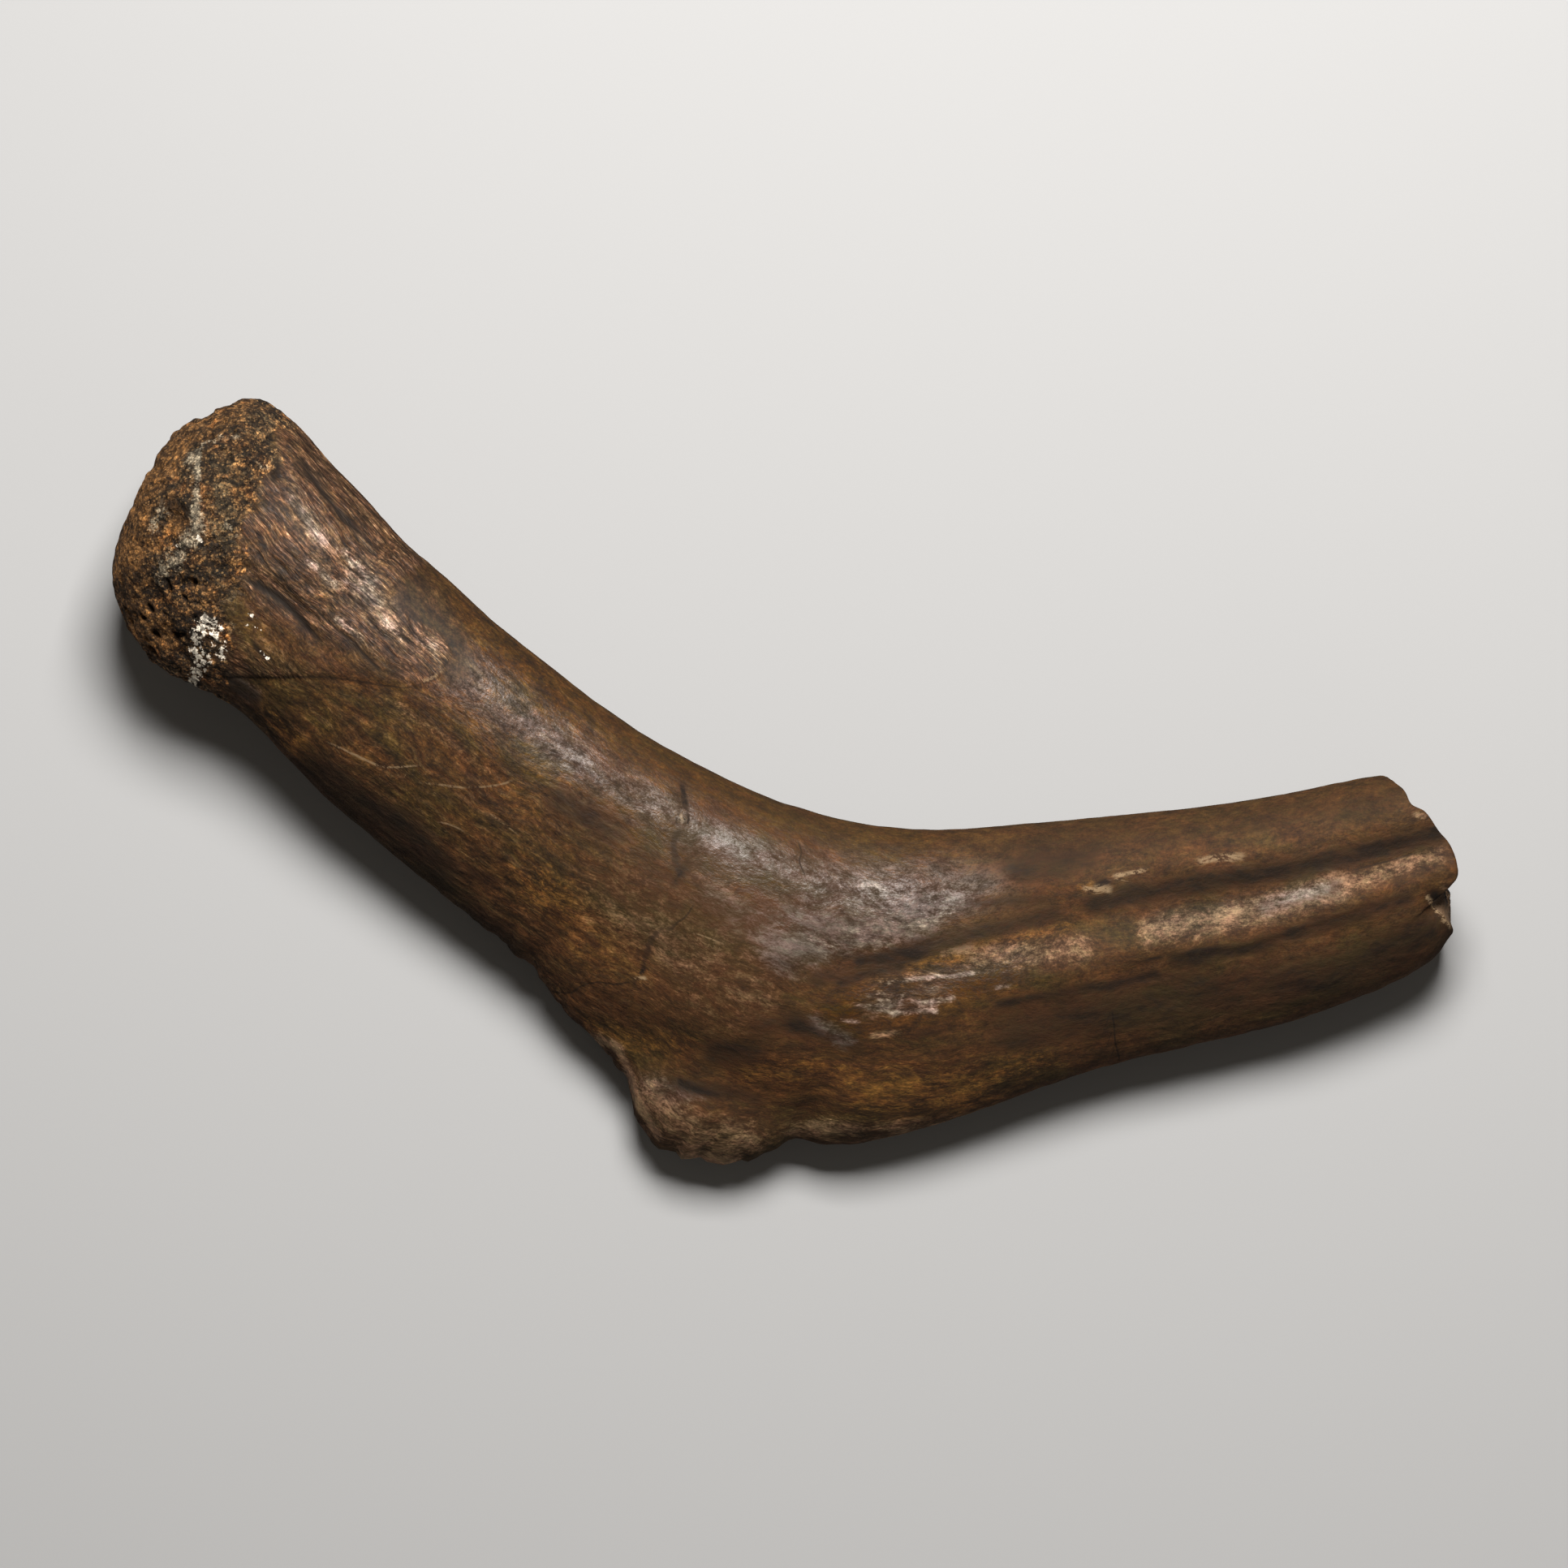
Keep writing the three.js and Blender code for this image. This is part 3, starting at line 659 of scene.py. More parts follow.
# %% Nicks
NICKS = {
    "long one on the neck": (0.17, 0.65, [(-68, 6.4), (-64, 4.6), (-61.4, 3.3), (-58.6, 2.5), (-53, 2.8)]),
    "below it": (0.18, 0.5, [(-54.6, 0.3), (-50, -0.2), (-46.8, -0.5), (-42.5, -0.2), (-39.8, 0.6)]),
    "dash": (0.15, 0.55, [(-51.2, -5.6), (-49.2, -6.1), (-47.4, -7)]),
    "short one on the neck": (0.12, 0.4, [(-43.6, -4.2), (-41.5, -5.8), (-39, -7.8)]),
    "on the bend": (0.12, 0.5, [(-13.4, -22), (-11.4, -22.6), (-9, -23.7)]),
    "eye of the crack": (0.3, 0.5, [(-15.2, -4.4), (-15.1, -5.1), (-15, -5.9)]),
    "in the groove": (0.6, 0.75, [(61, -11.4), (64.5, -10.9), (68.4, -10.6)]),
    "over the groove": (0.32, 0.9, [(48.6, -13.6), (51.2, -13.2), (53.8, -12.6)]),
    "beside the groove": (0.7, 0.8, [(44.4, -15.4), (46.4, -15.6), (48.8, -15.6)]),
    "at the break": (0.4, 1, [(95.2, -16.2), (97, -18.6), (99.6, -21.8)]),
    "end of the slab": (0.3, 0.7, [(-53.4, 15.2), (-51.8, 15.7), (-50.5, 16.8)]),
    "foot of the crack": (0.35, 1, [(-22.4, -28.9), (-21.4, -28.8), (-20.4, -28.7)]),
}
print(len(NICKS), "nicks")


# %% The nearest line of each point
def drawn(lines):
    """For each point: signed distance over half-width, place along, and how much the line counts."""
    best = np.full(len(points), 9.0)
    share = np.zeros(len(points))
    weight = np.zeros(len(points))
    for half_width, strength, path in lines.values():
        distance, place = beside(rounded(path), x, y)
        ratio = distance / half_width
        nearer = np.abs(ratio) < np.abs(best)
        ends = strength * smooth(0, 0.1, place) * smooth(1, 0.9, place)
        best = np.where(nearer, ratio, best)
        share = np.where(nearer, place, share)
        weight = np.where(nearer, ends * smooth(1.5, 0.9, np.abs(distance)), weight)
    return np.stack([best, share, weight * on_top], 1)


cracks = drawn(CRACKS)
nicks = drawn(NICKS)
crack_depth = -0.2 * smooth(1.6, 0.4, np.abs(cracks[:, 0])) * cracks[:, 2]
print("the cracks are up to", round(-float(crack_depth.min()), 2), "mm deep")

# %% Everything together
fine_relief = (
    worn * head_relief
    + fibrous * coarse_gaps
    + dense * (0.03 * stringy * faint + 0.05 * wavy + dimples)
    + step_relief * (1 - worn)
    + 0.1 * filler
    + crack_depth
)
edge_fade = smooth(0, 0.6, z)
shaped = points + normals * (fine_relief * edge_fade)[:, None]
low = np.array(solid_low) / MM
high = np.array(solid_high) / MM
shaped = np.clip(shaped, low, high)
print("fine relief from", fine_relief.min().round(2), "to", fine_relief.max().round(2), "mm")

# %% [markdown]
# ## Stains, and painted light and shade
# Minerals stained the bone in patches: dark manganese, ochre iron, olive and violet films, and pale
# crusts of lime. They follow no rule that a texture knows, so they are dabbed on one by one, like the
# cracks. A stroke is a line with a soft half-width, and its strength says how opaque it is.
# Some strokes paint light and shade: shade in grooves, under ledges and on flanks turned from the lamp,
# light on the head's left side, and sheen and highlights on the neck, bend, fibres and ridge.

# %% Dark manganese in the pits and slits, and painted shade in grooves, under ledges and on flanks
# Each stroke is (half-width in millimetres, strength, points as seen from above).
STAIN_AND_LIGHT_STROKES = {}
STAIN_AND_LIGHT_STROKES["dark_stain_and_shade"] = [
    (2.6, 0.9, [(-94, 28.3), (-90.7, 26), (-88, 22.6)]),
    (1.6, 0.6, [(-95, 28.5), (-89.8, 28.3)]),
    # painted shadow under the ledge behind the head
    (0.7, 0.7, [(-77.5, 29.3), (-74.6, 27.6), (-71.7, 25), (-70, 22.8)]),
    (0.5, 0.6, [(-63.4, 20.8), (-61.4, 18.6), (-59.4, 16.8)]),
    (0.9, 0.5, [(-71.4, 47.5), (-68.5, 43.6), (-66.1, 40.7), (-63, 37.4)]),
    (0.9, 0.7, [(-76.8, 49.7), (-75, 47.6), (-75.2, 45)]),
    (0.8, 0.6, [(-78.4, 46.4), (-76.6, 46.2)]),
    (0.5, 0.6, [(-78, 20.6), (-76.4, 18.6)]),
    (0.8, 0.4, [(11, -26.2), (14.8, -25.3), (20.6, -24.9)]),
    (0.9, 0.45, [(8.5, -29.8), (12.9, -28), (17.2, -27.4)]),
    (0.6, 0.5, [(19.5, -37.4), (23, -36.7)]),
    (0.6, 0.3, [(-15.3, -6.6), (-16.3, -8.8), (-15.9, -11.2), (-15.2, -13.4)]),
    (1.4, 0.5, [(-82.6, 15.4), (-78.3, 12.6)]),
    (0.35, 0.6, [(53, -26.4), (56, -25.6)]),
    (0.4, 0.6, [(60, -25.2), (64.6, -24.2)]),
    (3, 0.5, [(-33.4, -2.5), (-29.7, -4.4), (-25.5, -7)]),
    (1.8, 0.3, [(-56.4, -4.3), (-52.9, -7)]),
    (1.2, 0.3, [(-53.5, -0.9), (-47.9, -2.2), (-42.3, -2.7)]),
    (1.5, 0.4, [(-46, -13.1), (-43.5, -14)]),
    (1.3, 0.5, [(-14.6, -12.6), (-16.1, -14.3)]),
    (1.8, 0.4, [(5, -28.8), (12, -26.6), (19, -25)]),
    (0.9, 0.4, [(27, -17.8), (38.5, -17)]),
    (3, 0.5, [(-10.3, -40), (-5.2, -40.2)]),
    (0.7, 0.4, [(-10.4, -39.2), (-6.7, -39.2)]),
    (2.6, 0.4, [(-3.5, -35.7), (1.8, -35.5)]),
    (1.2, 0.5, [(-17, -44.4), (-7.1, -46.1), (-4.2, -47.2)]),
    (0.5, 0.6, [(-15.6, -44.4), (-13.4, -45.6), (-10.4, -46.3)]),
    (2, 0.5, [(19, -24.6), (29, -22.2), (40, -19.4)]),
    # painted shade on the shaft's upper band
    (3.4, 0.35, [(36, -13), (44, -11)]),
    (4, 0.4, [(33, -9.6), (50, -7), (70, -4.4), (90, -1.6)]),
    (1.6, 0.5, [(1.5, -35.5), (11.1, -39)]),
    (0.8, 0.45, [(31.7, -32.6), (38.5, -31.4), (48.4, -29.8), (55.1, -28.2)]),
    # the shaft's groove: a dark stain and painted shade
    (2, 0.65, [(46, -17.4), (60, -15), (70, -13.4), (80, -11.6), (88, -9.8), (97, -7.4)]),
    (1.4, 0.5, [(58, -26), (70, -23.8), (82, -20), (92, -17)]),
    # painted shade on the shaft's lower side
    (5, 0.5, [(34, -37), (46, -34), (60, -32), (72, -30), (84, -27.5), (96, -22)]),
    # painted shade on the neck's lower side
    (4, 0.4, [(-72, 2), (-60, -8), (-48, -18), (-40, -25)]),
    (0.7, 0.8, [(46.8, -14.9), (47.8, -14.5)]),
    (1.1, 0.85, [(96.6, -16.6), (98, -17.6)]),
    # more painted shade on the neck's lower side
    (2.5, 0.4, [(-70, 4), (-60, -4), (-50, -12.5)]),
]
print("strokes:", len(STAIN_AND_LIGHT_STROKES["dark_stain_and_shade"]))

# %% Ochre iron, mostly round the head and along the lower edge; painted light on the head's left side
STAIN_AND_LIGHT_STROKES["ochre_and_painted_light"] = [
    (2.6, 0.45, [(-86, 51.5), (-82, 54.5), (-80, 56)]),
    # painted light: brightens the head's left side, which faces away from the lamp
    (4.5, 0.5, [(-94.5, 40), (-96, 31), (-93, 24)]),
    (1.4, 0.6, [(-89.2, 39.6), (-89, 37.8)]),
    (2, 0.5, [(-97, 31), (-95.5, 25.5), (-91, 21)]),
    # painted light along the head's left edge, in ochre
    (3, 0.75, [(-98.5, 33), (-97, 38), (-93.6, 45), (-89.6, 51.5)]),
    (1.3, 0.8, [(-90.6, 41), (-88.8, 38.6)]),
    (2, 0.5, [(-29, -36.6), (-22, -38.5), (-14, -38)]),
    (2.4, 0.5, [(-5.6, -42.9), (4.5, -42.9)]),
    (3.5, 0.4, [(10, -43.5), (24, -44.5), (38, -41)]),
    (3.5, 0.35, [(12, -48), (30, -47.5)]),
    (1.6, 0.5, [(44.6, -15.6), (48.5, -15.9)]),
    (1, 0.6, [(17, -25.8), (22, -26.2), (27.2, -25.8)]),
    (1.6, 0.45, [(26, -24.6), (34, -22.8), (42, -21.2)]),
    (5, 0.4, [(-36, -14), (-28, -22), (-22, -27)]),
    (2.4, 0.5, [(-76, 9), (-70, 3.5)]),
    (3.2, 0.3, [(-15, -13), (-7, -16)]),
    (3, 0.3, [(50, -2.5), (86, 0)]),
]
print("strokes:", len(STAIN_AND_LIGHT_STROKES["ochre_and_painted_light"]))

# %% Olive films
STAIN_AND_LIGHT_STROKES["olive"] = [
    (2.6, 0.7, [(-81, 26), (-79.4, 22.3), (-77.5, 18)]),
    (2, 0.5, [(-88.5, 45.5), (-86, 52)]),
    (3, 0.55, [(-82.6, 47), (-82.4, 41), (-82, 36)]),
    (2.4, 0.5, [(-78, 54.5), (-76, 51)]),
    (1.6, 0.5, [(-75.5, 49), (-74, 45.5)]),
    (2.8, 0.5, [(0, -50), (8, -51), (14, -50)]),
    (3, 0.45, [(16, -44.5), (40.5, -43.5)]),
    (3.2, 0.35, [(55, -34), (66, -31.5)]),
    (3, 0.35, [(-3, -4), (10, -8.5), (24, -9.3)]),
    (2.6, 0.4, [(-66, 0), (-58, -6)]),
]
print("strokes:", len(STAIN_AND_LIGHT_STROKES["olive"]))

# %% Violet films on the flange, and painted sheen and reflection on the neck, bend and lower rim
STAIN_AND_LIGHT_STROKES["violet_film_and_sheen"] = [
    (2.6, 0.35, [(-22.5, -45), (-16, -47)]),
    (1.8, 0.3, [(-19.5, -44.5), (-12, -46.5)]),
    # painted sheen on the bend
    (3.4, 0.4, [(2, -25), (10, -24), (22, -20)]),
    # painted reflection along the shaft's lower rim
    (2.2, 0.4, [(76, -38), (92, -32), (98, -27)]),
    # painted sheen on the neck
    (3, 0.35, [(-38, 9), (-24, -1)]),
    (2, 0.5, [(-82.6, 16), (-79, 13.4)]),
]
print("strokes:", len(STAIN_AND_LIGHT_STROKES["violet_film_and_sheen"]))

# %% Pale, rubbed skin on the slab, the ridge and the flange
STAIN_AND_LIGHT_STROKES["pale"] = [
    (2.6, 0.3, [(-72.5, 41), (-68, 35.5), (-64, 30.5), (-60, 26)]),
    (1.1, 0.8, [(-64.9, 29.8), (-62.2, 28.4), (-60, 26.7), (-58, 24)]),
    (1, 0.7, [(-71.4, 41.7), (-69, 38.4), (-67.8, 35.9)]),
    (2, 0.5, [(-58, 24), (-54, 21.4), (-51.4, 20)]),
    (0.6, 0.5, [(23.3, -25.2), (27.2, -24.2)]),
    (0.6, 0.5, [(31, -24.5), (35.4, -24.2)]),
    (0.6, 0.5, [(12.9, -37.3), (17.2, -36.8)]),
    (2.6, 0.56, [(54.5, -22), (62, -20.4), (69, -19), (76, -17.2), (81.6, -15.4)]),
    (1.8, 0.48, [(81.6, -15.2), (89, -13), (97, -10.6)]),
    (9, 0.3, [(-24, -18), (-14, -26), (-6, -31)]),
    (2.6, 0.45, [(28, -25.8), (36, -25), (44, -24.2)]),
    (4, 0.5, [(-19.5, -47), (-16.5, -50), (-12.5, -52.5), (-6, -53)]),
    (0.6, 0.8, [(-27.4, -38.4), (-24.8, -39.8), (-23, -44), (-21.6, -48), (-18.6, -53)]),
    (0.5, 0.7, [(-16.5, -56), (-11, -56.9), (-7, -56.6)]),
    (3, 0.35, [(2, -52), (14, -52), (24, -51.5)]),
    (0.9, 0.35, [(13, -29.4), (24, -28)]),
    (1, 0.5, [(-28.5, -37.6), (-24.7, -39.6)]),
    (0.8, 0.5, [(-23.2, -43), (-22.2, -46)]),
    (0.9, 0.45, [(-15, -56.4), (-8.6, -56.3)]),
    (0.9, 0.5, [(4.2, -51.4), (11.4, -51.6)]),
    (0.6, 0.7, [(93.6, -4.6), (95, -4.8)]),
    (0.6, 0.6, [(97.8, -15.2), (98.6, -15.6)]),
    (1.2, 0.25, [(-58, 12), (-50, 7), (-44, 2)]),
]
print("strokes:", len(STAIN_AND_LIGHT_STROKES["pale"]))

# %% Painted grey sheen on the bend, below it and on the ridge
STAIN_AND_LIGHT_STROKES["painted_sheen"] = [
    (3.4, 0.3, [(-12, -7.4), (-2, -11.6), (10, -14.6), (20, -17)]),
    (3.6, 0.6, [(0, -25.5), (6, -22.6), (12, -21.4), (18, -21)]),
    (4, 0.32, [(-11, -16), (-4, -20.5), (3, -19)]),
    (2, 0.6, [(19, -18), (23.5, -17.6), (27, -17.6)]),
    (1.6, 0.6, [(4.6, -35.4), (9.4, -38)]),
    (2.4, 0.35, [(12, -33.4), (22, -30.4)]),
    (1.6, 0.6, [(71, -18.4), (76, -16.8), (81.6, -15.2)]),
]
print("strokes:", len(STAIN_AND_LIGHT_STROKES["painted_sheen"]))

# %% Painted highlights: silvery streaks along the fibres, on the slab, below the bend and on the ridge
STAIN_AND_LIGHT_STROKES["painted_highlight_streaks"] = [
    (1.2, 0.4, [(-65.1, 34.4), (-62.7, 32), (-60.8, 30)]),
    (1.2, 0.4, [(-64.4, 29.8), (-62.2, 28.6), (-60, 26.9)]),
    (1.2, 0.35, [(-70, 38.6), (-67.8, 35.9)]),
    (1, 0.35, [(-72.6, 42), (-70.8, 40.2)]),
    (1.1, 0.35, [(-59, 24.4), (-56.4, 21.6)]),
    (1.1, 0.35, [(-54, 21.6), (-51.6, 19.8)]),
    (1, 0.35, [(-70, 33), (-66, 29.4)]),
    (1, 0.3, [(-66, 24.4), (-62, 21.6)]),
    (0.5, 0.55, [(14.8, -29.5), (19.9, -28.8), (25.5, -28.3), (28.1, -28)]),
    (0.8, 0.45, [(12.6, -31.3), (17.7, -31)]),
    (0.7, 0.45, [(14.6, -32.5), (17.4, -32.3)]),
    (0.7, 0.5, [(16.8, -33.8), (19.4, -33.5), (22.5, -33.8)]),
    (0.6, 0.5, [(19.5, -32.3), (21.8, -32.3)]),
    (0.7, 0.45, [(22.1, -32.2), (24.8, -31.6)]),
    (0.7, 0.4, [(10.9, -32.9), (13.9, -33.2), (16.3, -33.9)]),
    (0.5, 0.4, [(8.5, -34.9), (11.4, -35.4)]),
    (0.6, 0.45, [(5.1, -35.8), (7.1, -36.8), (9, -37.8)]),
    (0.6, 0.45, [(7.4, -38.4), (10.6, -38.2)]),
    (0.5, 0.5, [(31.6, -30.1), (33.2, -29.7)]),
    (0.8, 0.4, [(10.7, -14.8), (12.9, -15), (15, -15.6)]),
    (0.8, 0.45, [(20.2, -20.6), (22.6, -19.6), (24.9, -18.8)]),
    (0.8, 0.45, [(9.3, -21.2), (11.4, -21.9)]),
    (0.8, 0.45, [(3.7, -22.8), (7.6, -24)]),
    (0.8, 0.5, [(74, -17), (77.4, -16), (80.6, -15)]),
]
print("strokes:", len(STAIN_AND_LIGHT_STROKES["painted_highlight_streaks"]))

# %% The grey vein across the head
STAIN_AND_LIGHT_STROKES["vein"] = [
    (0.9, 0.5, [(-80.6, 51.4), (-83, 51.2), (-85.4, 50), (-87.6, 48)]),
    (0.5, 0.6, [(-86.4, 49.5), (-86.2, 46), (-86.6, 42), (-86.4, 38)]),
    (1.5, 0.45, [(-87.6, 48), (-86.4, 44), (-86, 38)]),
    (2.2, 0.7, [(-86.8, 36.6), (-89.4, 33.4), (-91.4, 31)]),
    (1, 0.4, [(-78.4, 48.6), (-76.4, 46.6)]),
    (1, 0.5, [(-81.6, 38.2), (-80.6, 36.6)]),
    (1.6, 0.5, [(-93, 37.5), (-91, 40.5)]),
    (1.2, 0.5, [(-84, 22.6), (-83, 19.6)]),
]
print("strokes:", len(STAIN_AND_LIGHT_STROKES["vein"]))

# %% Lime crust under the head, and its crumbs
STAIN_AND_LIGHT_STROKES["lime"] = [
    (0.35, 0.45, [(-86.6, 36.8), (-85.4, 35.6)]),
    (0.35, 0.4, [(-89.8, 35.4), (-89.2, 34.8)]),
    (1, 1, [(-85.6, 24), (-87, 20.4), (-86, 18.6)]),
    (0.9, 1, [(-86, 18.6), (-87.2, 16.4), (-87.8, 15)]),
    (1.1, 0.55, [(-83.8, 23.4), (-83.2, 19.4)]),
    (0.3, 0.6, [(-79, 25.1), (-77.6, 24.4)]),
    (0.25, 0.4, [(-79.2, 23.4), (-77, 22.8)]),
    (0.3, 0.6, [(-77, 19.5), (-75.5, 18.1)]),
]
print("strokes:", len(STAIN_AND_LIGHT_STROKES["lime"]))

# %% Where the skin is polished
STAIN_AND_LIGHT_STROKES["polish"] = [
    (8, 1, [(-56, 24), (-46, 16), (-36, 8), (-26, 0), (-14, -7), (-2, -13), (8, -16), (18, -16.5)]),
    (3.6, 0.7, [(18, -16.5), (26, -15.6), (31, -15.2)]),
    (6, 0.8, [(2, -23), (10, -21.5), (20, -19.5)]),
    (4.4, 1, [(8, -34.6), (17, -32.4), (26, -29.8), (32, -28)]),
    (2.4, 0.35, [(56, -20.5), (68, -18), (80, -15)]),
    (4, 0.5, [(-74, 44), (-66, 32), (-58, 22)]),
]
print("strokes:", len(STAIN_AND_LIGHT_STROKES["polish"]))


# %% Soft masks from the strokes
def stroke_cover(strokes):
    """How strongly a set of strokes covers each point, from 0 to 1."""
    bare = np.ones(len(points))
    for half_width, strength, path in strokes:
        bare *= 1 - strength * bell(beside(rounded(path, 3), x, y)[0] / half_width)
    return (1 - bare) * on_top


stain_and_light_cover = {name: stroke_cover(strokes) for name, strokes in STAIN_AND_LIGHT_STROKES.items()}
print({name: round(float(cover.max()), 2) for name, cover in stain_and_light_cover.items()})


# %% The rib's mesh
def new_mesh(name, points, quads, triangles):
    mesh = bpy.data.meshes.new(name)
    mesh.from_pydata((points * MM).tolist(), [], quads.tolist() + triangles.tolist())
    mesh.polygons.foreach_set("use_smooth", [True] * len(mesh.polygons))
    return mesh


def store(mesh, name, values):
    """Keeps one number or one vector for each vertex, for the finish to read."""
    kind, field = ("FLOAT_VECTOR", "vector") if values.ndim == 2 else ("FLOAT", "value")
    attribute = mesh.attributes.new(name, kind, "POINT")
    attribute.data.foreach_set(field, values.astype(np.float32).ravel())


rib_mesh = new_mesh("rib_bone", shaped, quads, fans)
masks = {
    "worn": worn, "fibrous": fibrous, "filler": filler, "hollow": fine_relief, "painted_rim_shade": painted_rim_shade,
    "stringy": stringy, "busy": busy,
}
for name, values in {**masks, **stain_and_light_cover, "grain": straight, "cracks": cracks, "nicks": nicks}.items():
    store(rib_mesh, name, values)
rib_bone = bpy.data.objects.new("rib_bone", rib_mesh)
bpy.context.scene.collection.objects.link(rib_bone)
print("size in mm:", [round(d / MM, 1) for d in rib_bone.dimensions])

# %% [markdown]
# ## Finishes
# A finish is a tree of nodes. Most of its nodes blend two colours by a mask, so a few short helpers
# keep the trees readable. Effects that both finishes use become node groups: long fibres and
# spongy grains. A group only puts out masks and heights, and each finish colours them itself.


# %% Short ways to add nodes
def node(tree, kind, inputs=(), **settings):
    """Adds a node; inputs maps a socket's name or number to a value or to another node's output."""
    new = tree.nodes.new("ShaderNode" + kind)
    for setting, value in settings.items():
        setattr(new, setting, value)
    for socket, value in dict(inputs).items():
        if isinstance(value, bpy.types.NodeSocket):
            tree.links.new(value, new.inputs[socket])
        else:
            new.inputs[socket].default_value = value
    return new


def maths(tree, operation, *values):
    return node(tree, "Math", dict(enumerate(values)), operation=operation).outputs[0]


def times(tree, first, second):
    return maths(tree, "MULTIPLY", first, second)


def between(tree, value, low, high):
    """0 where value is low, 1 where it is high, with a soft step."""
    inputs = {"Value": value, "From Min": low, "From Max": high}
    return node(tree, "MapRange", inputs, interpolation_type="SMOOTHSTEP").outputs[0]


def blend(tree, share, first, second, how="MIX"):
    inputs = {0: share, 6: first, 7: second}
    return node(tree, "Mix", inputs, data_type="RGBA", blend_type=how).outputs[2]


print("a node is added by its kind, its inputs and its settings")


# %% Short ways to begin and end a finish
def stored(tree, name, output="Fac"):
    """A mask or a place that the mesh keeps for each vertex."""
    return node(tree, "Attribute", attribute_name=name).outputs[output]


def place_in_millimetres(tree):
    metres = node(tree, "TexCoord").outputs["Object"]
    return node(tree, "VectorMath", {0: metres, 3: 1 / MM}, operation="SCALE").outputs[0]


def colour(red, green, blue):
    return (red, green, blue, 1)


def new_finish(name, mesh):
    """Adds a finish to a mesh and gives back its empty tree."""
    finish = bpy.data.materials.new(name)
    finish.use_nodes = True
    finish.node_tree.nodes.clear()
    mesh.materials.append(finish)
    return finish.node_tree


def shade(tree, inputs):
    """Ends a finish with a Principled BSDF that has these inputs."""
    shader = node(tree, "BsdfPrincipled", inputs)
    tree.links.new(shader.outputs[0], node(tree, "OutputMaterial").inputs[0])


print("a brown:", colour(0.06, 0.03, 0.01))


# %% A group with named sockets
def new_group(name, inputs, outputs):
    """A node group with its inputs' default values; gives back the tree, its inputs and its outputs."""
    group = bpy.data.node_groups.new(name, "ShaderNodeTree")
    for socket, default in inputs.items():
        kind = "NodeSocketVector" if default is None else "NodeSocketFloat"
        made = group.interface.new_socket(socket, in_out="INPUT", socket_type=kind)
        if default is not None:
            made.default_value = default
    for socket in outputs:
        group.interface.new_socket(socket, in_out="OUTPUT", socket_type="NodeSocketFloat")
    return group, group.nodes.new("NodeGroupInput").outputs, group.nodes.new("NodeGroupOutput").inputs


def use(tree, group, **inputs):
    """Places a group in a tree, with the values of its inputs."""
    placed = tree.nodes.new("ShaderNodeGroup")
    placed.node_tree = group
    for name, value in inputs.items():
        socket = placed.inputs[name]
        if isinstance(value, bpy.types.NodeSocket):
            tree.links.new(value, socket)
        else:
            socket.default_value = value
    return placed.outputs


print("groups so far:", len(bpy.data.node_groups))

# %% Long fibres
fibres, given, gives = new_group(
    "long_fibres",
    {"Place": None, "Length": 4.0, "Width": 0.4, "Seed": 0.0, "Roughness": 0.6, "Detail": 3.0},
    ["Height", "Ridge", "Gap"],
)
across = given["Width"]
narrowing = node(fibres, "CombineXYZ", {0: given["Length"], 1: across, 2: across}).outputs[0]
squeezed = node(fibres, "VectorMath", {0: given["Place"], 1: narrowing}, operation="DIVIDE").outputs[0]
fibre_noise = node(
    fibres,
    "TexNoise",
    {"Vector": squeezed, "W": given["Seed"], "Scale": 1.0, "Detail": given["Detail"],
     "Roughness": given["Roughness"]},
    noise_dimensions="4D",
).outputs[0]
fibres.links.new(fibre_noise, gives["Height"])
fibres.links.new(between(fibres, fibre_noise, 0.5, 0.64), gives["Ridge"])
fibres.links.new(between(fibres, fibre_noise, 0.5, 0.36), gives["Gap"])
print(fibres.name, "puts out", [socket.name for socket in gives if socket.name])

# %% Spongy grains
sponge_group, given, gives = new_group(
    "spongy_grains",
    {"Place": None, "Size": 0.6, "Seed": 0.0},
    ["Height", "Gap", "Spot", "Tint"],
)
grain_scale = maths(sponge_group, "DIVIDE", 1.0, given["Size"])
cells = node(
    sponge_group,
    "TexVoronoi",
    {"Vector": given["Place"], "W": given["Seed"], "Scale": grain_scale, "Randomness": 1.0},
    voronoi_dimensions="4D",
)
crumbs = node(
    sponge_group,
    "TexNoise",
    {"Vector": given["Place"], "W": given["Seed"], "Scale": grain_scale, "Detail": 3.0, "Roughness": 0.65},
    noise_dimensions="4D",
).outputs[0]
grain_height = maths(sponge_group, "SUBTRACT", times(sponge_group, crumbs, 1.6),
                     cells.outputs["Distance"])
grain_tint = node(sponge_group, "SeparateColor", {0: cells.outputs["Color"]}).outputs[0]
sponge_group.links.new(grain_height, gives["Height"])
sponge_group.links.new(between(sponge_group, grain_height, 0.3, 0.05), gives["Gap"])
sponge_group.links.new(between(sponge_group, cells.outputs["Distance"], 0.6, 0.42), gives["Spot"])
sponge_group.links.new(grain_tint, gives["Tint"])
print(sponge_group.name, "puts out", [socket.name for socket in gives if socket.name])


# %% Mottle
# Noise whose octaves are all equally strong looks like mineral: as busy close by as from far off.
# Raised to a power it becomes a factor around 1, which lightens and darkens a colour evenly.
def mottled(tree, tone, noise_height, strength):
    stretched = times(tree, maths(tree, "SUBTRACT", noise_height, 0.5), strength)
    return blend(tree, 1.0, tone, maths(tree, "EXPONENT", stretched), "MULTIPLY")


print("a mottle of strength 5 darkens to", round(math.exp(-5 * 0.1), 2))

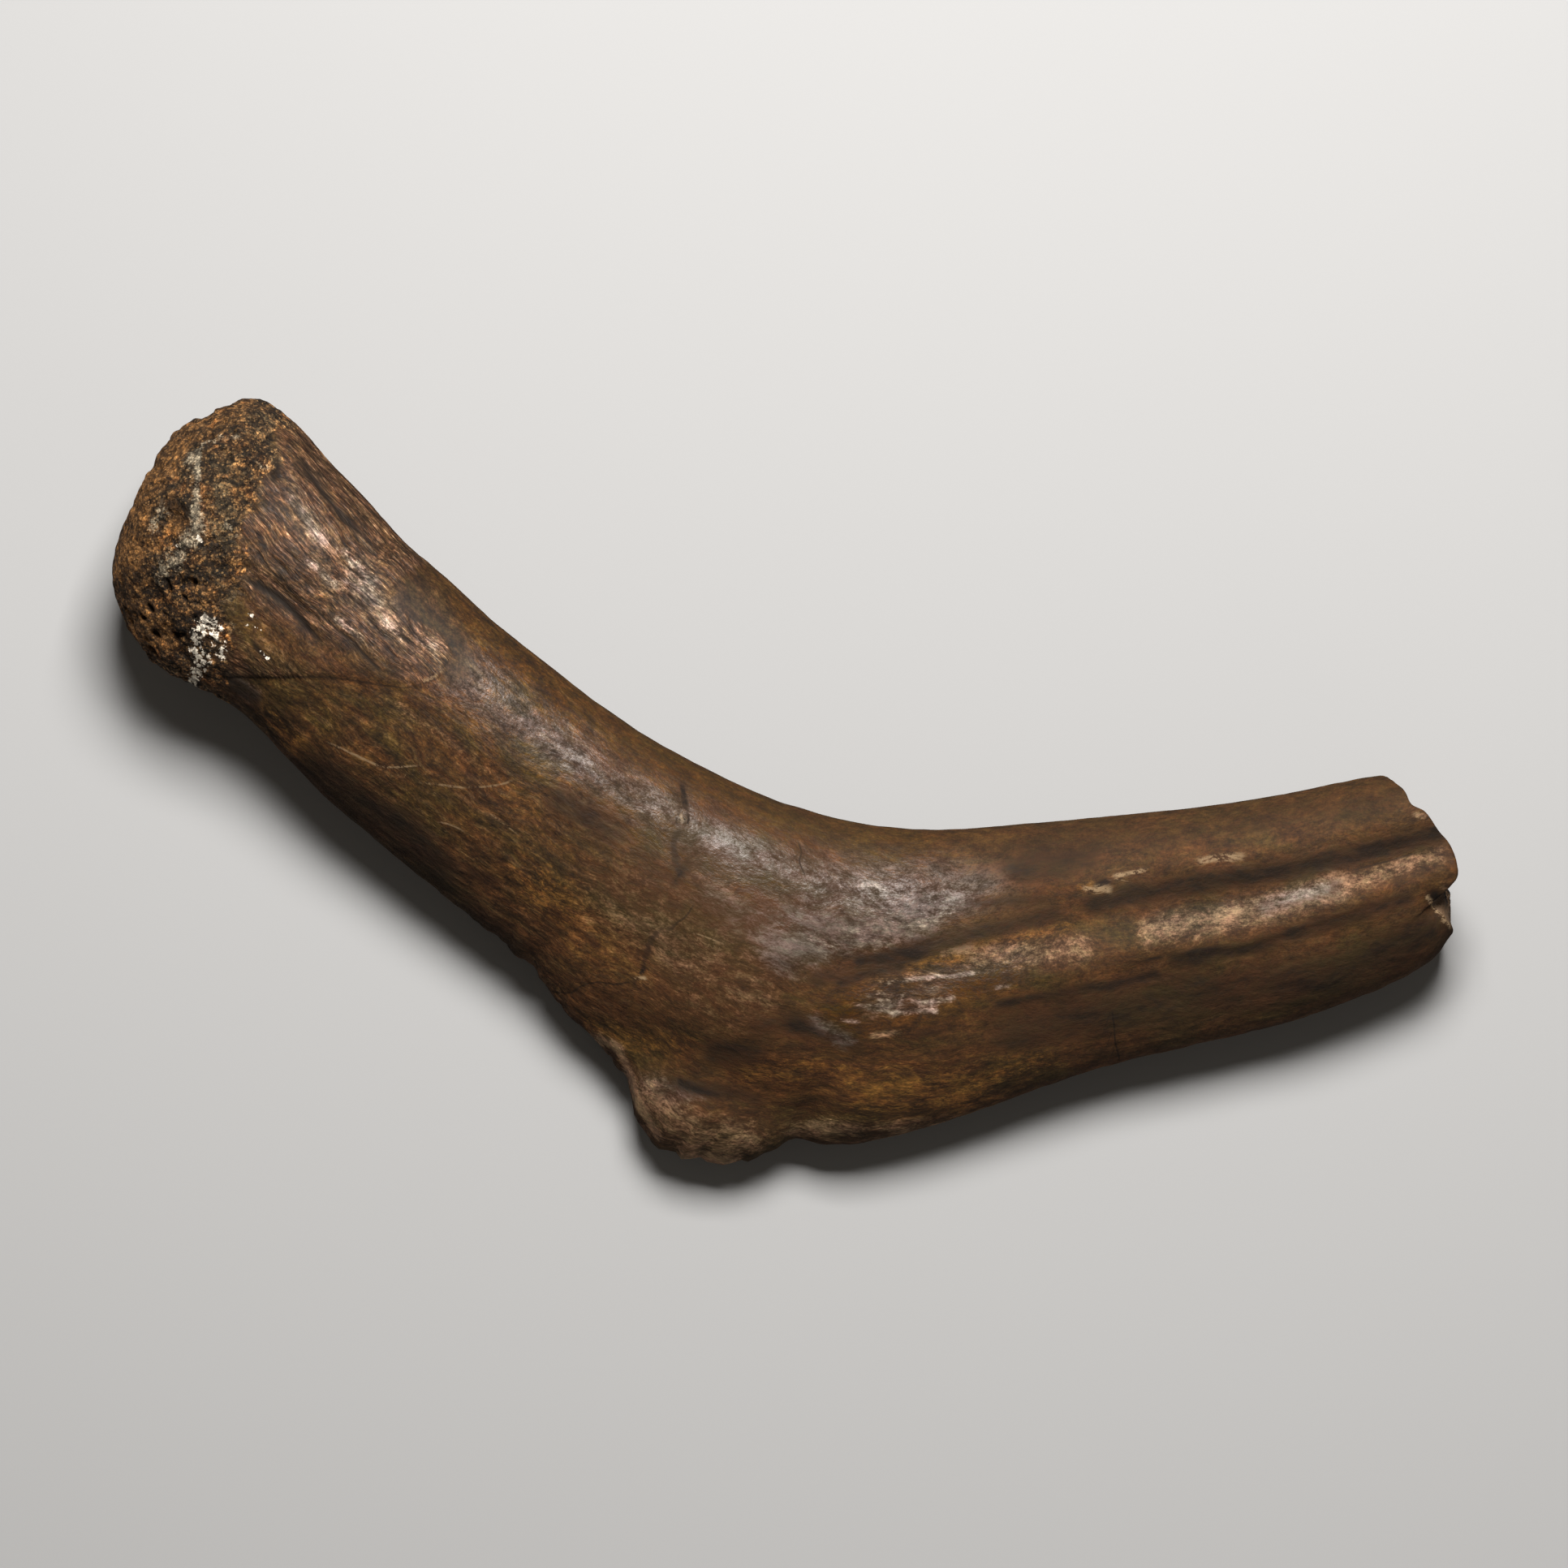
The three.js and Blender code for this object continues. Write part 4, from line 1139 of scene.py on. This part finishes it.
# %% [markdown]
# ## The rib's skin
# Fossil bone is brown all through, but no brown fills more than a few millimetres: reddish and olive
# patches, tan flecks and dark gaps lie over each other. It could be one noise through a colour ramp,
# which looks like mud. Here each layer has its own scale and its own direction, as on the real one:
# wide patches, then flecks, then the stains and the painted light and shade, and at last what is
# special to each zone.

# %% Colours of the skin
BROWN = colour(0.049, 0.0205, 0.0048)
UMBER = colour(0.019, 0.0078, 0.0019)
RED_BROWN = colour(0.06, 0.0228, 0.0052)
# painted shade along the upper rim
RIM_SHADE_BROWN = colour(0.037, 0.0158, 0.0029)
OLIVE = colour(0.042, 0.0236, 0.0047)
TAN = colour(0.14, 0.078, 0.031)
PINK_TAN = colour(0.155, 0.09, 0.047)
OCHRE = colour(0.11, 0.0465, 0.0085)
# also used for painted shade in hollows, pits, grooves and under ledges
BLACK_BROWN = colour(0.0095, 0.0047, 0.0017)
# violet films, and painted sheen in places
VIOLET_GREY = colour(0.06, 0.041, 0.033)
# painted sheen
PAINTED_SHEEN_GREY = colour(0.086, 0.062, 0.048)
# painted highlights
PAINTED_HIGHLIGHT = colour(0.19, 0.142, 0.112)
LIME = colour(0.68, 0.6, 0.48)
NICKED = colour(0.24, 0.16, 0.085)
FILLER = colour(0.026, 0.015, 0.007)
SLAB_BROWN = colour(0.046, 0.0205, 0.0082)
SLAB_PALE = colour(0.118, 0.074, 0.046)
HEAD_BROWN = colour(0.042, 0.0195, 0.0065)
HEAD_GOLD = colour(0.108, 0.053, 0.0175)
# ochre, and painted light on the head's left side
HEAD_OCHRE = colour(0.132, 0.06, 0.0165)
RUST = colour(0.115, 0.041, 0.0085)
MOSS = colour(0.056, 0.04, 0.02)
GREY_VEIN = colour(0.175, 0.145, 0.098)
GOLD_GLINT = colour(0.3, 0.165, 0.06)
ROSY = colour(1.05, 0.975, 0.99)
MOSSY = colour(0.95, 1.02, 0.95)
print("the skin's middle brown:", BROWN[:3])

# %% Patches and flecks of the skin
tree = new_finish("fossil_bone_skin", rib_mesh)
grain = stored(tree, "grain", "Vector")
place = place_in_millimetres(tree)

wide = use(tree, fibres, Place=grain, Length=16.0, Width=7.0, Seed=1.0, Roughness=0.6)
narrow = use(tree, fibres, Place=grain, Length=6.0, Width=2.6, Seed=2.0, Roughness=0.7)
streak = use(tree, fibres, Place=grain, Length=4.0, Width=0.7, Seed=3.0, Roughness=0.7)
fleck = use(tree, fibres, Place=grain, Length=3.8, Width=2.4, Seed=6.0, Roughness=1.0, Detail=4.0)
film = use(tree, fibres, Place=grain, Length=4.5, Width=2.6, Seed=7.0, Roughness=0.9, Detail=3.0)
dimple = use(tree, fibres, Place=grain, Length=1.5, Width=0.9, Seed=4.0, Roughness=0.7)

tone = blend(tree, times(tree, wide["Ridge"], 0.8), BROWN, RED_BROWN)
tone = blend(tree, times(tree, wide["Gap"], 0.8), tone, OLIVE)
gaps = times(tree, narrow["Gap"], times(tree, stored(tree, "busy"), 0.35))
tone = blend(tree, gaps, tone, UMBER)
stringiness = times(tree, stored(tree, "stringy"), 0.3)
tone = blend(tree, times(tree, streak["Ridge"], stringiness), tone, TAN)
tone = blend(tree, times(tree, streak["Gap"], stringiness), tone, UMBER)
print(len(tree.nodes), "nodes so far")

# %% Stains, and painted light and shade
# The soft masks of the stains and of the painted light and shade are broken up by the flecks, so
# their edges are ragged along the grain.
ragged = maths(tree, "MULTIPLY_ADD", narrow["Height"], 1.1, times(tree, fleck["Height"], 1.7))


def lay_stain_and_light(tone, name, tint):
    """Lays the tint of a stain, or of painted light or shade, over a tone."""
    cover = maths(tree, "ADD", stored(tree, name), maths(tree, "SUBTRACT", ragged, 1.4))
    cover = times(tree, between(tree, cover, 0.15, 0.8), between(tree, stored(tree, name), 0.0, 0.4))
    return blend(tree, cover, tone, tint)


# Tints of the stains and of the painted light and shade. The grey sheen and the silvery streaks are painted
# highlights. The dark, violet and ochre strokes are partly painted shade, sheen and light.
STAIN_AND_LIGHT_TINTS = {
    "olive": OLIVE, "ochre_and_painted_light": OCHRE, "violet_film_and_sheen": VIOLET_GREY, "pale": PINK_TAN, "painted_sheen": PAINTED_SHEEN_GREY, "painted_highlight_streaks": PAINTED_HIGHLIGHT,
    "dark_stain_and_shade": BLACK_BROWN,
}
for name, tint in STAIN_AND_LIGHT_TINTS.items():
    tone = lay_stain_and_light(tone, name, tint)
# Painted shade: the band along the upper rim is darkened.
tone = blend(tree, times(tree, stored(tree, "painted_rim_shade"), 0.7), tone, RIM_SHADE_BROWN)
print(len(tree.nodes), "nodes after the stains")

# %% Weathered fibres, and the filler
plank = use(tree, fibres, Place=grain, Length=9.0, Width=2.0, Seed=12.0, Roughness=0.9, Detail=3.0)
furrow = use(tree, fibres, Place=grain, Length=8.0, Width=0.75, Seed=5.0, Roughness=0.95, Detail=3.0)
thread = use(tree, fibres, Place=grain, Length=3.0, Width=0.34, Seed=11.0, Roughness=0.8, Detail=2.0)
bleached = maths(tree, "MULTIPLY_ADD", stored(tree, "pale"), 0.8, 0.15)
bleached = times(tree, between(tree, narrow["Height"], 0.4, 0.56), bleached)
fibre_tone = blend(tree, bleached, SLAB_BROWN, SLAB_PALE)
fibre_tone = blend(tree, 0.35, fibre_tone, tone)
# Painted highlights: silvery streaks on the slab's fibres.
fibre_tone = lay_stain_and_light(fibre_tone, "painted_highlight_streaks", PAINTED_HIGHLIGHT)
fibre_tone = blend(tree, times(tree, thread["Ridge"], 0.3), fibre_tone, SLAB_PALE)
# Dark manganese, and painted shade in the slits and under the ledge.
fibre_tone = lay_stain_and_light(fibre_tone, "dark_stain_and_shade", BLACK_BROWN)
# Painted shade: the sunken places of the fine relief are darkened.
painted_hollow_shade = between(tree, stored(tree, "hollow"), -0.04, -0.22)
fibre_tone = blend(tree, times(tree, painted_hollow_shade, 0.8), fibre_tone, BLACK_BROWN)
fibre_tone = mottled(tree, fibre_tone, plank["Height"], 3.8)
fibre_tone = mottled(tree, fibre_tone, furrow["Height"], 5.0)
fibre_tone = mottled(tree, fibre_tone, thread["Height"], 4.2)
fibre_tone = blend(tree, times(tree, furrow["Gap"], 0.6), fibre_tone, UMBER)
tone = blend(tree, stored(tree, "fibrous"), tone, fibre_tone)
filler_tone = blend(tree, 0.3, FILLER, tone)
tone = blend(tree, times(tree, stored(tree, "filler"), 0.85), tone, filler_tone)
tone = mottled(tree, tone, fleck["Height"], times(tree, stored(tree, "busy"), 4.8))
film_tint = blend(tree, between(tree, film["Height"], 0.42, 0.58), ROSY, MOSSY)
tone = blend(tree, 1.0, tone, film_tint, "MULTIPLY")
print(len(tree.nodes), "nodes after the slab and its filler")

# %% The worn head
dust = use(tree, fibres, Place=place, Length=2.4, Width=2.4, Seed=8.0, Roughness=1.0, Detail=4.0)
shifted = node(tree, "VectorMath", {0: place, 1: dust["Height"]}, operation="ADD").outputs[0]
crumb = use(tree, sponge_group, Place=shifted, Size=0.8, Seed=1.0)
speck = use(tree, sponge_group, Place=shifted, Size=0.36, Seed=2.0)
rust = use(tree, fibres, Place=place, Length=5.0, Width=4.0, Seed=10.0, Roughness=0.9)
grain_tint = maths(tree, "MULTIPLY_ADD", crumb["Tint"], 0.6, times(tree, dust["Height"], 0.8))
head_tone = blend(tree, between(tree, grain_tint, 0.45, 0.95), HEAD_BROWN, HEAD_GOLD)
head_tone = blend(tree, times(tree, rust["Ridge"], 0.7), head_tone, RUST)
head_tone = blend(tree, times(tree, rust["Gap"], 0.85), head_tone, MOSS)
head_tone = lay_stain_and_light(head_tone, "olive", MOSS)
# Ochre iron, and painted light on the head's left side.
head_tone = lay_stain_and_light(head_tone, "ochre_and_painted_light", HEAD_OCHRE)
# The dark strokes on the head: manganese, partly painted shade.
dark_cover = times(tree, stored(tree, "dark_stain_and_shade"), between(tree, dust["Height"], 0.62, 0.44))
head_tone = blend(tree, times(tree, dark_cover, 0.85), head_tone, BLACK_BROWN)
pitted = maths(tree, "SUBTRACT", 1.0, times(tree, stored(tree, "ochre_and_painted_light"), 0.4))
head_tone = mottled(tree, head_tone, rust["Height"], 5.0)
head_tone = mottled(tree, head_tone, crumb["Tint"], 1.0)
head_tone = mottled(tree, head_tone, speck["Tint"], times(tree, pitted, 1.6))
head_tone = mottled(tree, head_tone, dust["Height"], times(tree, pitted, 10.0))
crumb_gap = maths(tree, "MAXIMUM", times(tree, crumb["Gap"], 0.6), times(tree, speck["Gap"], 0.5))
head_tone = blend(tree, times(tree, crumb_gap, pitted), head_tone, BLACK_BROWN)
glint = times(tree, speck["Spot"], between(tree, speck["Tint"], 0.72, 0.86))
head_tone = blend(tree, times(tree, glint, 0.55), head_tone, GOLD_GLINT)
vein_edge = maths(tree, "MULTIPLY_ADD", dust["Height"], 3.2, maths(tree, "ADD", stored(tree, "vein"), -1.6))
near_vein = between(tree, stored(tree, "vein"), 0.1, 0.5)
vein_cover = times(tree, between(tree, vein_edge, 0.35, 0.75), near_vein)
vein_tone = mottled(tree, mottled(tree, GREY_VEIN, speck["Tint"], 2.0), crumb["Tint"], 1.2)
head_tone = blend(tree, times(tree, vein_cover, 0.8), head_tone, vein_tone)
pit_shade = between(tree, stored(tree, "hollow"), -0.2, -0.8)
head_tone = blend(tree, times(tree, pit_shade, 0.85), head_tone, BLACK_BROWN)
worn_edge = maths(tree, "MULTIPLY_ADD", crumb["Tint"], 0.5, maths(tree, "ADD", stored(tree, "worn"), -0.25))
worn_cover = between(tree, worn_edge, 0.3, 0.7)
tone = blend(tree, worn_cover, tone, head_tone)
lime_edge = maths(tree, "MULTIPLY_ADD", crumb["Tint"], 0.8, maths(tree, "ADD", stored(tree, "lime"), -0.4))
lime_edge = maths(tree, "MULTIPLY_ADD", speck["Tint"], 0.5, maths(tree, "ADD", lime_edge, -0.25))
lime_cover = times(tree, between(tree, lime_edge, 0.42, 0.5), between(tree, crumb["Gap"], 0.9, 0.4))
lime_cover = times(tree, lime_cover, between(tree, stored(tree, "lime"), 0.12, 0.3))
lime_tone = mottled(tree, mottled(tree, LIME, dust["Height"], 3.0), speck["Tint"], 1.4)
tone = blend(tree, lime_cover, tone, lime_tone)
print(len(tree.nodes), "nodes after the head")

# %% Cracks and nicks
crack_line = node(tree, "SeparateXYZ", {0: stored(tree, "cracks", "Vector")}).outputs
nick_line = node(tree, "SeparateXYZ", {0: stored(tree, "nicks", "Vector")}).outputs
shiver = maths(tree, "MULTIPLY_ADD", streak["Height"], 3.0, -1.5)
crack_side = maths(tree, "ABSOLUTE", maths(tree, "ADD", crack_line[0], shiver))
nick_side = maths(tree, "ABSOLUTE", maths(tree, "ADD", nick_line[0], shiver))
crack_band = times(tree, between(tree, crack_side, 1.6, 0.4), crack_line[2])
broken_up = maths(tree, "MULTIPLY_ADD", between(tree, fleck["Height"], 0.38, 0.5), 0.6, 0.4)
crack_band = times(tree, crack_band, broken_up)
nick_band = times(tree, between(tree, nick_side, 1.3, 0.3), nick_line[2])
nick_band = times(tree, nick_band, between(tree, fleck["Height"], 0.42, 0.52))
nick_band = times(tree, nick_band, between(tree, streak["Height"], 0.36, 0.5))
tone = blend(tree, crack_band, tone, BLACK_BROWN)
tone = blend(tree, nick_band, tone, NICKED)
print(len(tree.nodes), "nodes after the cracks")


# %% Gloss and the finest relief
def mix_numbers(share, first, second):
    return node(tree, "Mix", {0: share, 2: first, 3: second}).outputs[0]


skin_height = times(tree, streak["Height"], times(tree, stored(tree, "stringy"), 0.08))
skin_height = maths(tree, "MULTIPLY_ADD", dimple["Height"], 0.17, skin_height)
slab_height = maths(tree, "MULTIPLY_ADD", thread["Height"], 0.12, times(tree, furrow["Height"], 0.26))
head_height = maths(tree, "MULTIPLY_ADD", crumb["Height"], 0.4, times(tree, speck["Height"], 0.2))
height = mix_numbers(stored(tree, "fibrous"), skin_height, slab_height)
height = mix_numbers(times(tree, stored(tree, "filler"), 0.7), height, 0.15)
height = mix_numbers(stored(tree, "worn"), height, head_height)
bump = node(tree, "Bump", {"Height": height, "Distance": 0.001, "Strength": 1.0}).outputs[0]
polished = times(tree, stored(tree, "polish"), between(tree, fleck["Height"], 0.34, 0.58))
rough = mix_numbers(polished, 0.78, 0.37)
rough = mix_numbers(stored(tree, "filler"), rough, 0.66)
rough = mix_numbers(stored(tree, "fibrous"), rough, mix_numbers(thread["Ridge"], 0.66, 0.48))
rough = mix_numbers(stored(tree, "worn"), rough, mix_numbers(crumb["Spot"], 0.85, 0.6))
rough = mix_numbers(maths(tree, "MAXIMUM", crack_band, stored(tree, "dark_stain_and_shade")), rough, 0.85)
shade(tree, {
    "Base Color": tone, "Roughness": rough, "Normal": bump, "IOR": 1.5, "Specular IOR Level": 0.25,
})
print("the skin's finish has", len(tree.nodes), "nodes")

# %% [markdown]
# ## The fracture
# The broken end is fresher than the skin: dull, paler and ochre. It has a dense outer wall and a
# spongy core with dark pores. It could be a piece of its own, but then a seam would show along the
# rim. So it is a second finish on the same piece, made of the same two groups.

# %% Finish of the fracture
WALL_BROWN = colour(0.05, 0.026, 0.01)
WALL_TAN = colour(0.15, 0.085, 0.04)
CORE_BROWN = colour(0.07, 0.034, 0.012)
CORE_OCHRE = colour(0.2, 0.115, 0.05)
tree = new_finish("fossil_bone_fracture", rib_mesh)
place = place_in_millimetres(tree)
coarse_crumb = use(tree, sponge_group, Place=place, Size=1.3, Seed=5.0)
fine_crumb = use(tree, sponge_group, Place=place, Size=0.5, Seed=6.0)
layers = use(tree, fibres, Place=place, Length=3.0, Width=1.2, Seed=7.0, Roughness=0.65)
core = between(tree, stored(tree, "inwards"), 0.18, 0.34)
wall_tone = blend(tree, layers["Height"], WALL_BROWN, WALL_TAN)
core_tone = blend(tree, fine_crumb["Tint"], CORE_BROWN, CORE_OCHRE)
pore = maths(tree, "MAXIMUM", coarse_crumb["Gap"], times(tree, fine_crumb["Gap"], 0.6))
core_tone = blend(tree, pore, core_tone, BLACK_BROWN)
tone = blend(tree, core, wall_tone, core_tone)
wall_height = times(tree, layers["Height"], 0.4)
core_height = times(tree, fine_crumb["Height"], 0.25)
core_height = maths(tree, "MULTIPLY_ADD", coarse_crumb["Height"], 0.6, core_height)
height = mix_numbers(core, wall_height, core_height)
bump = node(tree, "Bump", {"Height": height, "Distance": 0.001, "Strength": 1.0}).outputs[0]
rough = mix_numbers(layers["Height"], 0.6, 0.8)
shade(tree, {"Base Color": tone, "Roughness": rough, "Normal": bump, "IOR": 1.5})
print("the fracture's finish has", len(tree.nodes), "nodes")

# %% Which faces are broken
inwards = np.zeros(len(points))
inwards[on_face] = np.append(np.repeat(np.arange(1, BREAK_ROWS + 1) / (BREAK_ROWS + 1), columns), 1)
store(rib_mesh, "inwards", inwards)
first_broken = (ROWS - 1) * columns
which = np.zeros(len(rib_mesh.polygons), int)
which[first_broken:len(quads)] = 1
which[-columns:] = 1
rib_mesh.polygons.foreach_set("material_index", which)
print("the fracture covers", int(which.sum()), "faces")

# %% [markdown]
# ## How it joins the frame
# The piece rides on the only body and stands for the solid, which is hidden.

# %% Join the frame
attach(rib_bone, "root")
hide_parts("rib")
print(rib_bone.name, "replaces the solid")

# %% [markdown]
# ## The stage
# A specimen is best seen on a plain pale table under one large, soft lamp, which draws the long
# highlight on a bone's shoulder. The lamp is small and near, so the far table would be dark in the
# low views: out there the paper glows a little by itself, and a wall of the same paleness closes the
# horizon. Neither of them adds light near the bone. Both are kept out of its reflections, as a
# studio does with black card, because a pale veil over the dark flanks would hide their colours.

# %% A pale table
PAPER = colour(0.37, 0.37, 0.365)
FAR_PAPER = colour(0.68, 0.68, 0.675)
BLACK = colour(0, 0, 0)
TABLE_RADIUS = 6.0
TABLE_SIDES = 96
LIT_RADIUS = 0.17
GLOW_RADIUS = 0.45
turns = np.linspace(0, 2 * math.pi, TABLE_SIDES + 1)[:-1]
table_rim = [(TABLE_RADIUS * math.cos(turn), TABLE_RADIUS * math.sin(turn), 0) for turn in turns]
table_mesh = bpy.data.meshes.new("table")
table_mesh.from_pydata(table_rim, [], [range(TABLE_SIDES)])
table = bpy.data.objects.new("table", table_mesh)
bpy.context.scene.collection.objects.link(table)
tree = new_finish("table_paper", table_mesh)
from_middle = node(tree, "VectorMath", {0: node(tree, "TexCoord").outputs["Object"]}, operation="LENGTH")
far_out = between(tree, from_middle.outputs[1], LIT_RADIUS, GLOW_RADIUS)
shade(tree, {
    "Base Color": blend(tree, far_out, PAPER, BLACK),
    "Roughness": 0.9,
    "Specular IOR Level": 0.0,
    "Emission Color": blend(tree, far_out, BLACK, FAR_PAPER),
    "Emission Strength": 1.0,
})
table.visible_glossy = False
print("table:", 2 * TABLE_RADIUS, "m wide")

# %% A pale wall all round, for the low views only
bpy.ops.mesh.primitive_uv_sphere_add(radius=TABLE_RADIUS, segments=64, ring_count=32)
wall = bpy.context.object
wall.name = "wall"
tree = new_finish("wall_paper", wall.data)
shade(tree, {
    "Base Color": BLACK, "Specular IOR Level": 0.0, "Emission Color": FAR_PAPER, "Emission Strength": 1.0,
})
# Only the camera sees it, so Blender doesn't count it as a lamp, which would cost time.
wall.visible_diffuse = False
wall.visible_glossy = False
wall.visible_transmission = False
wall.visible_volume_scatter = False
wall.visible_shadow = False
print("the wall has", len(wall.data.polygons), "faces")


# %% Lamps
BONE_MIDDLE = (0.0, 0.0, 0.01)


def softbox(name, place, width, height, power, tint):
    lamp = bpy.data.lights.new(name, "AREA")
    lamp.shape = "RECTANGLE"
    lamp.size = width
    lamp.size_y = height
    lamp.energy = power
    lamp.color = tint
    made = bpy.data.objects.new(name, lamp)
    made.location = place
    made.rotation_euler = (Vector(BONE_MIDDLE) - Vector(place)).to_track_quat("-Z", "Y").to_euler()
    made.visible_camera = False
    bpy.context.scene.collection.objects.link(made)
    return made


softbox("key_softbox", (0.05, 0.38, 0.58), width=0.3, height=0.24, power=10.5, tint=(1.0, 0.98, 0.97))
softbox("rim_strip", (0.25, -0.6, 0.16), width=0.5, height=0.1, power=0.45, tint=(1.0, 0.95, 0.9))
world = bpy.data.worlds.new("studio")
world.use_nodes = True
fill = world.node_tree.nodes["Background"].inputs
fill["Color"].default_value = colour(0.88, 0.8, 0.7)
fill["Strength"].default_value = 0.08
bpy.context.scene.world = world
bpy.context.scene.view_settings.view_transform = "Standard"
print("lamps:", [lamp.name for lamp in bpy.data.lights])

# %% The camera looks straight down
LENS = 180
SENSOR = 36
FRAME_WIDTH = 0.234
FOCUS_HEIGHT = 0.013
camera_data = bpy.data.cameras.new("camera")
camera_data.lens = LENS
camera_data.sensor_width = SENSOR
camera_data.clip_end = 50
camera = bpy.data.objects.new("camera", camera_data)
camera.location = (0, 0, FOCUS_HEIGHT + FRAME_WIDTH * LENS / SENSOR)
bpy.context.scene.collection.objects.link(camera)
bpy.context.scene.camera = camera
print("camera at", round(camera.location.z, 3), "m")

# %% [markdown]
# ## Finish
# The visual model must stay inside the solid's box, so its points are clipped to that box when the
# fine relief is added.

# %% Update the scene
bpy.context.view_layer.update()
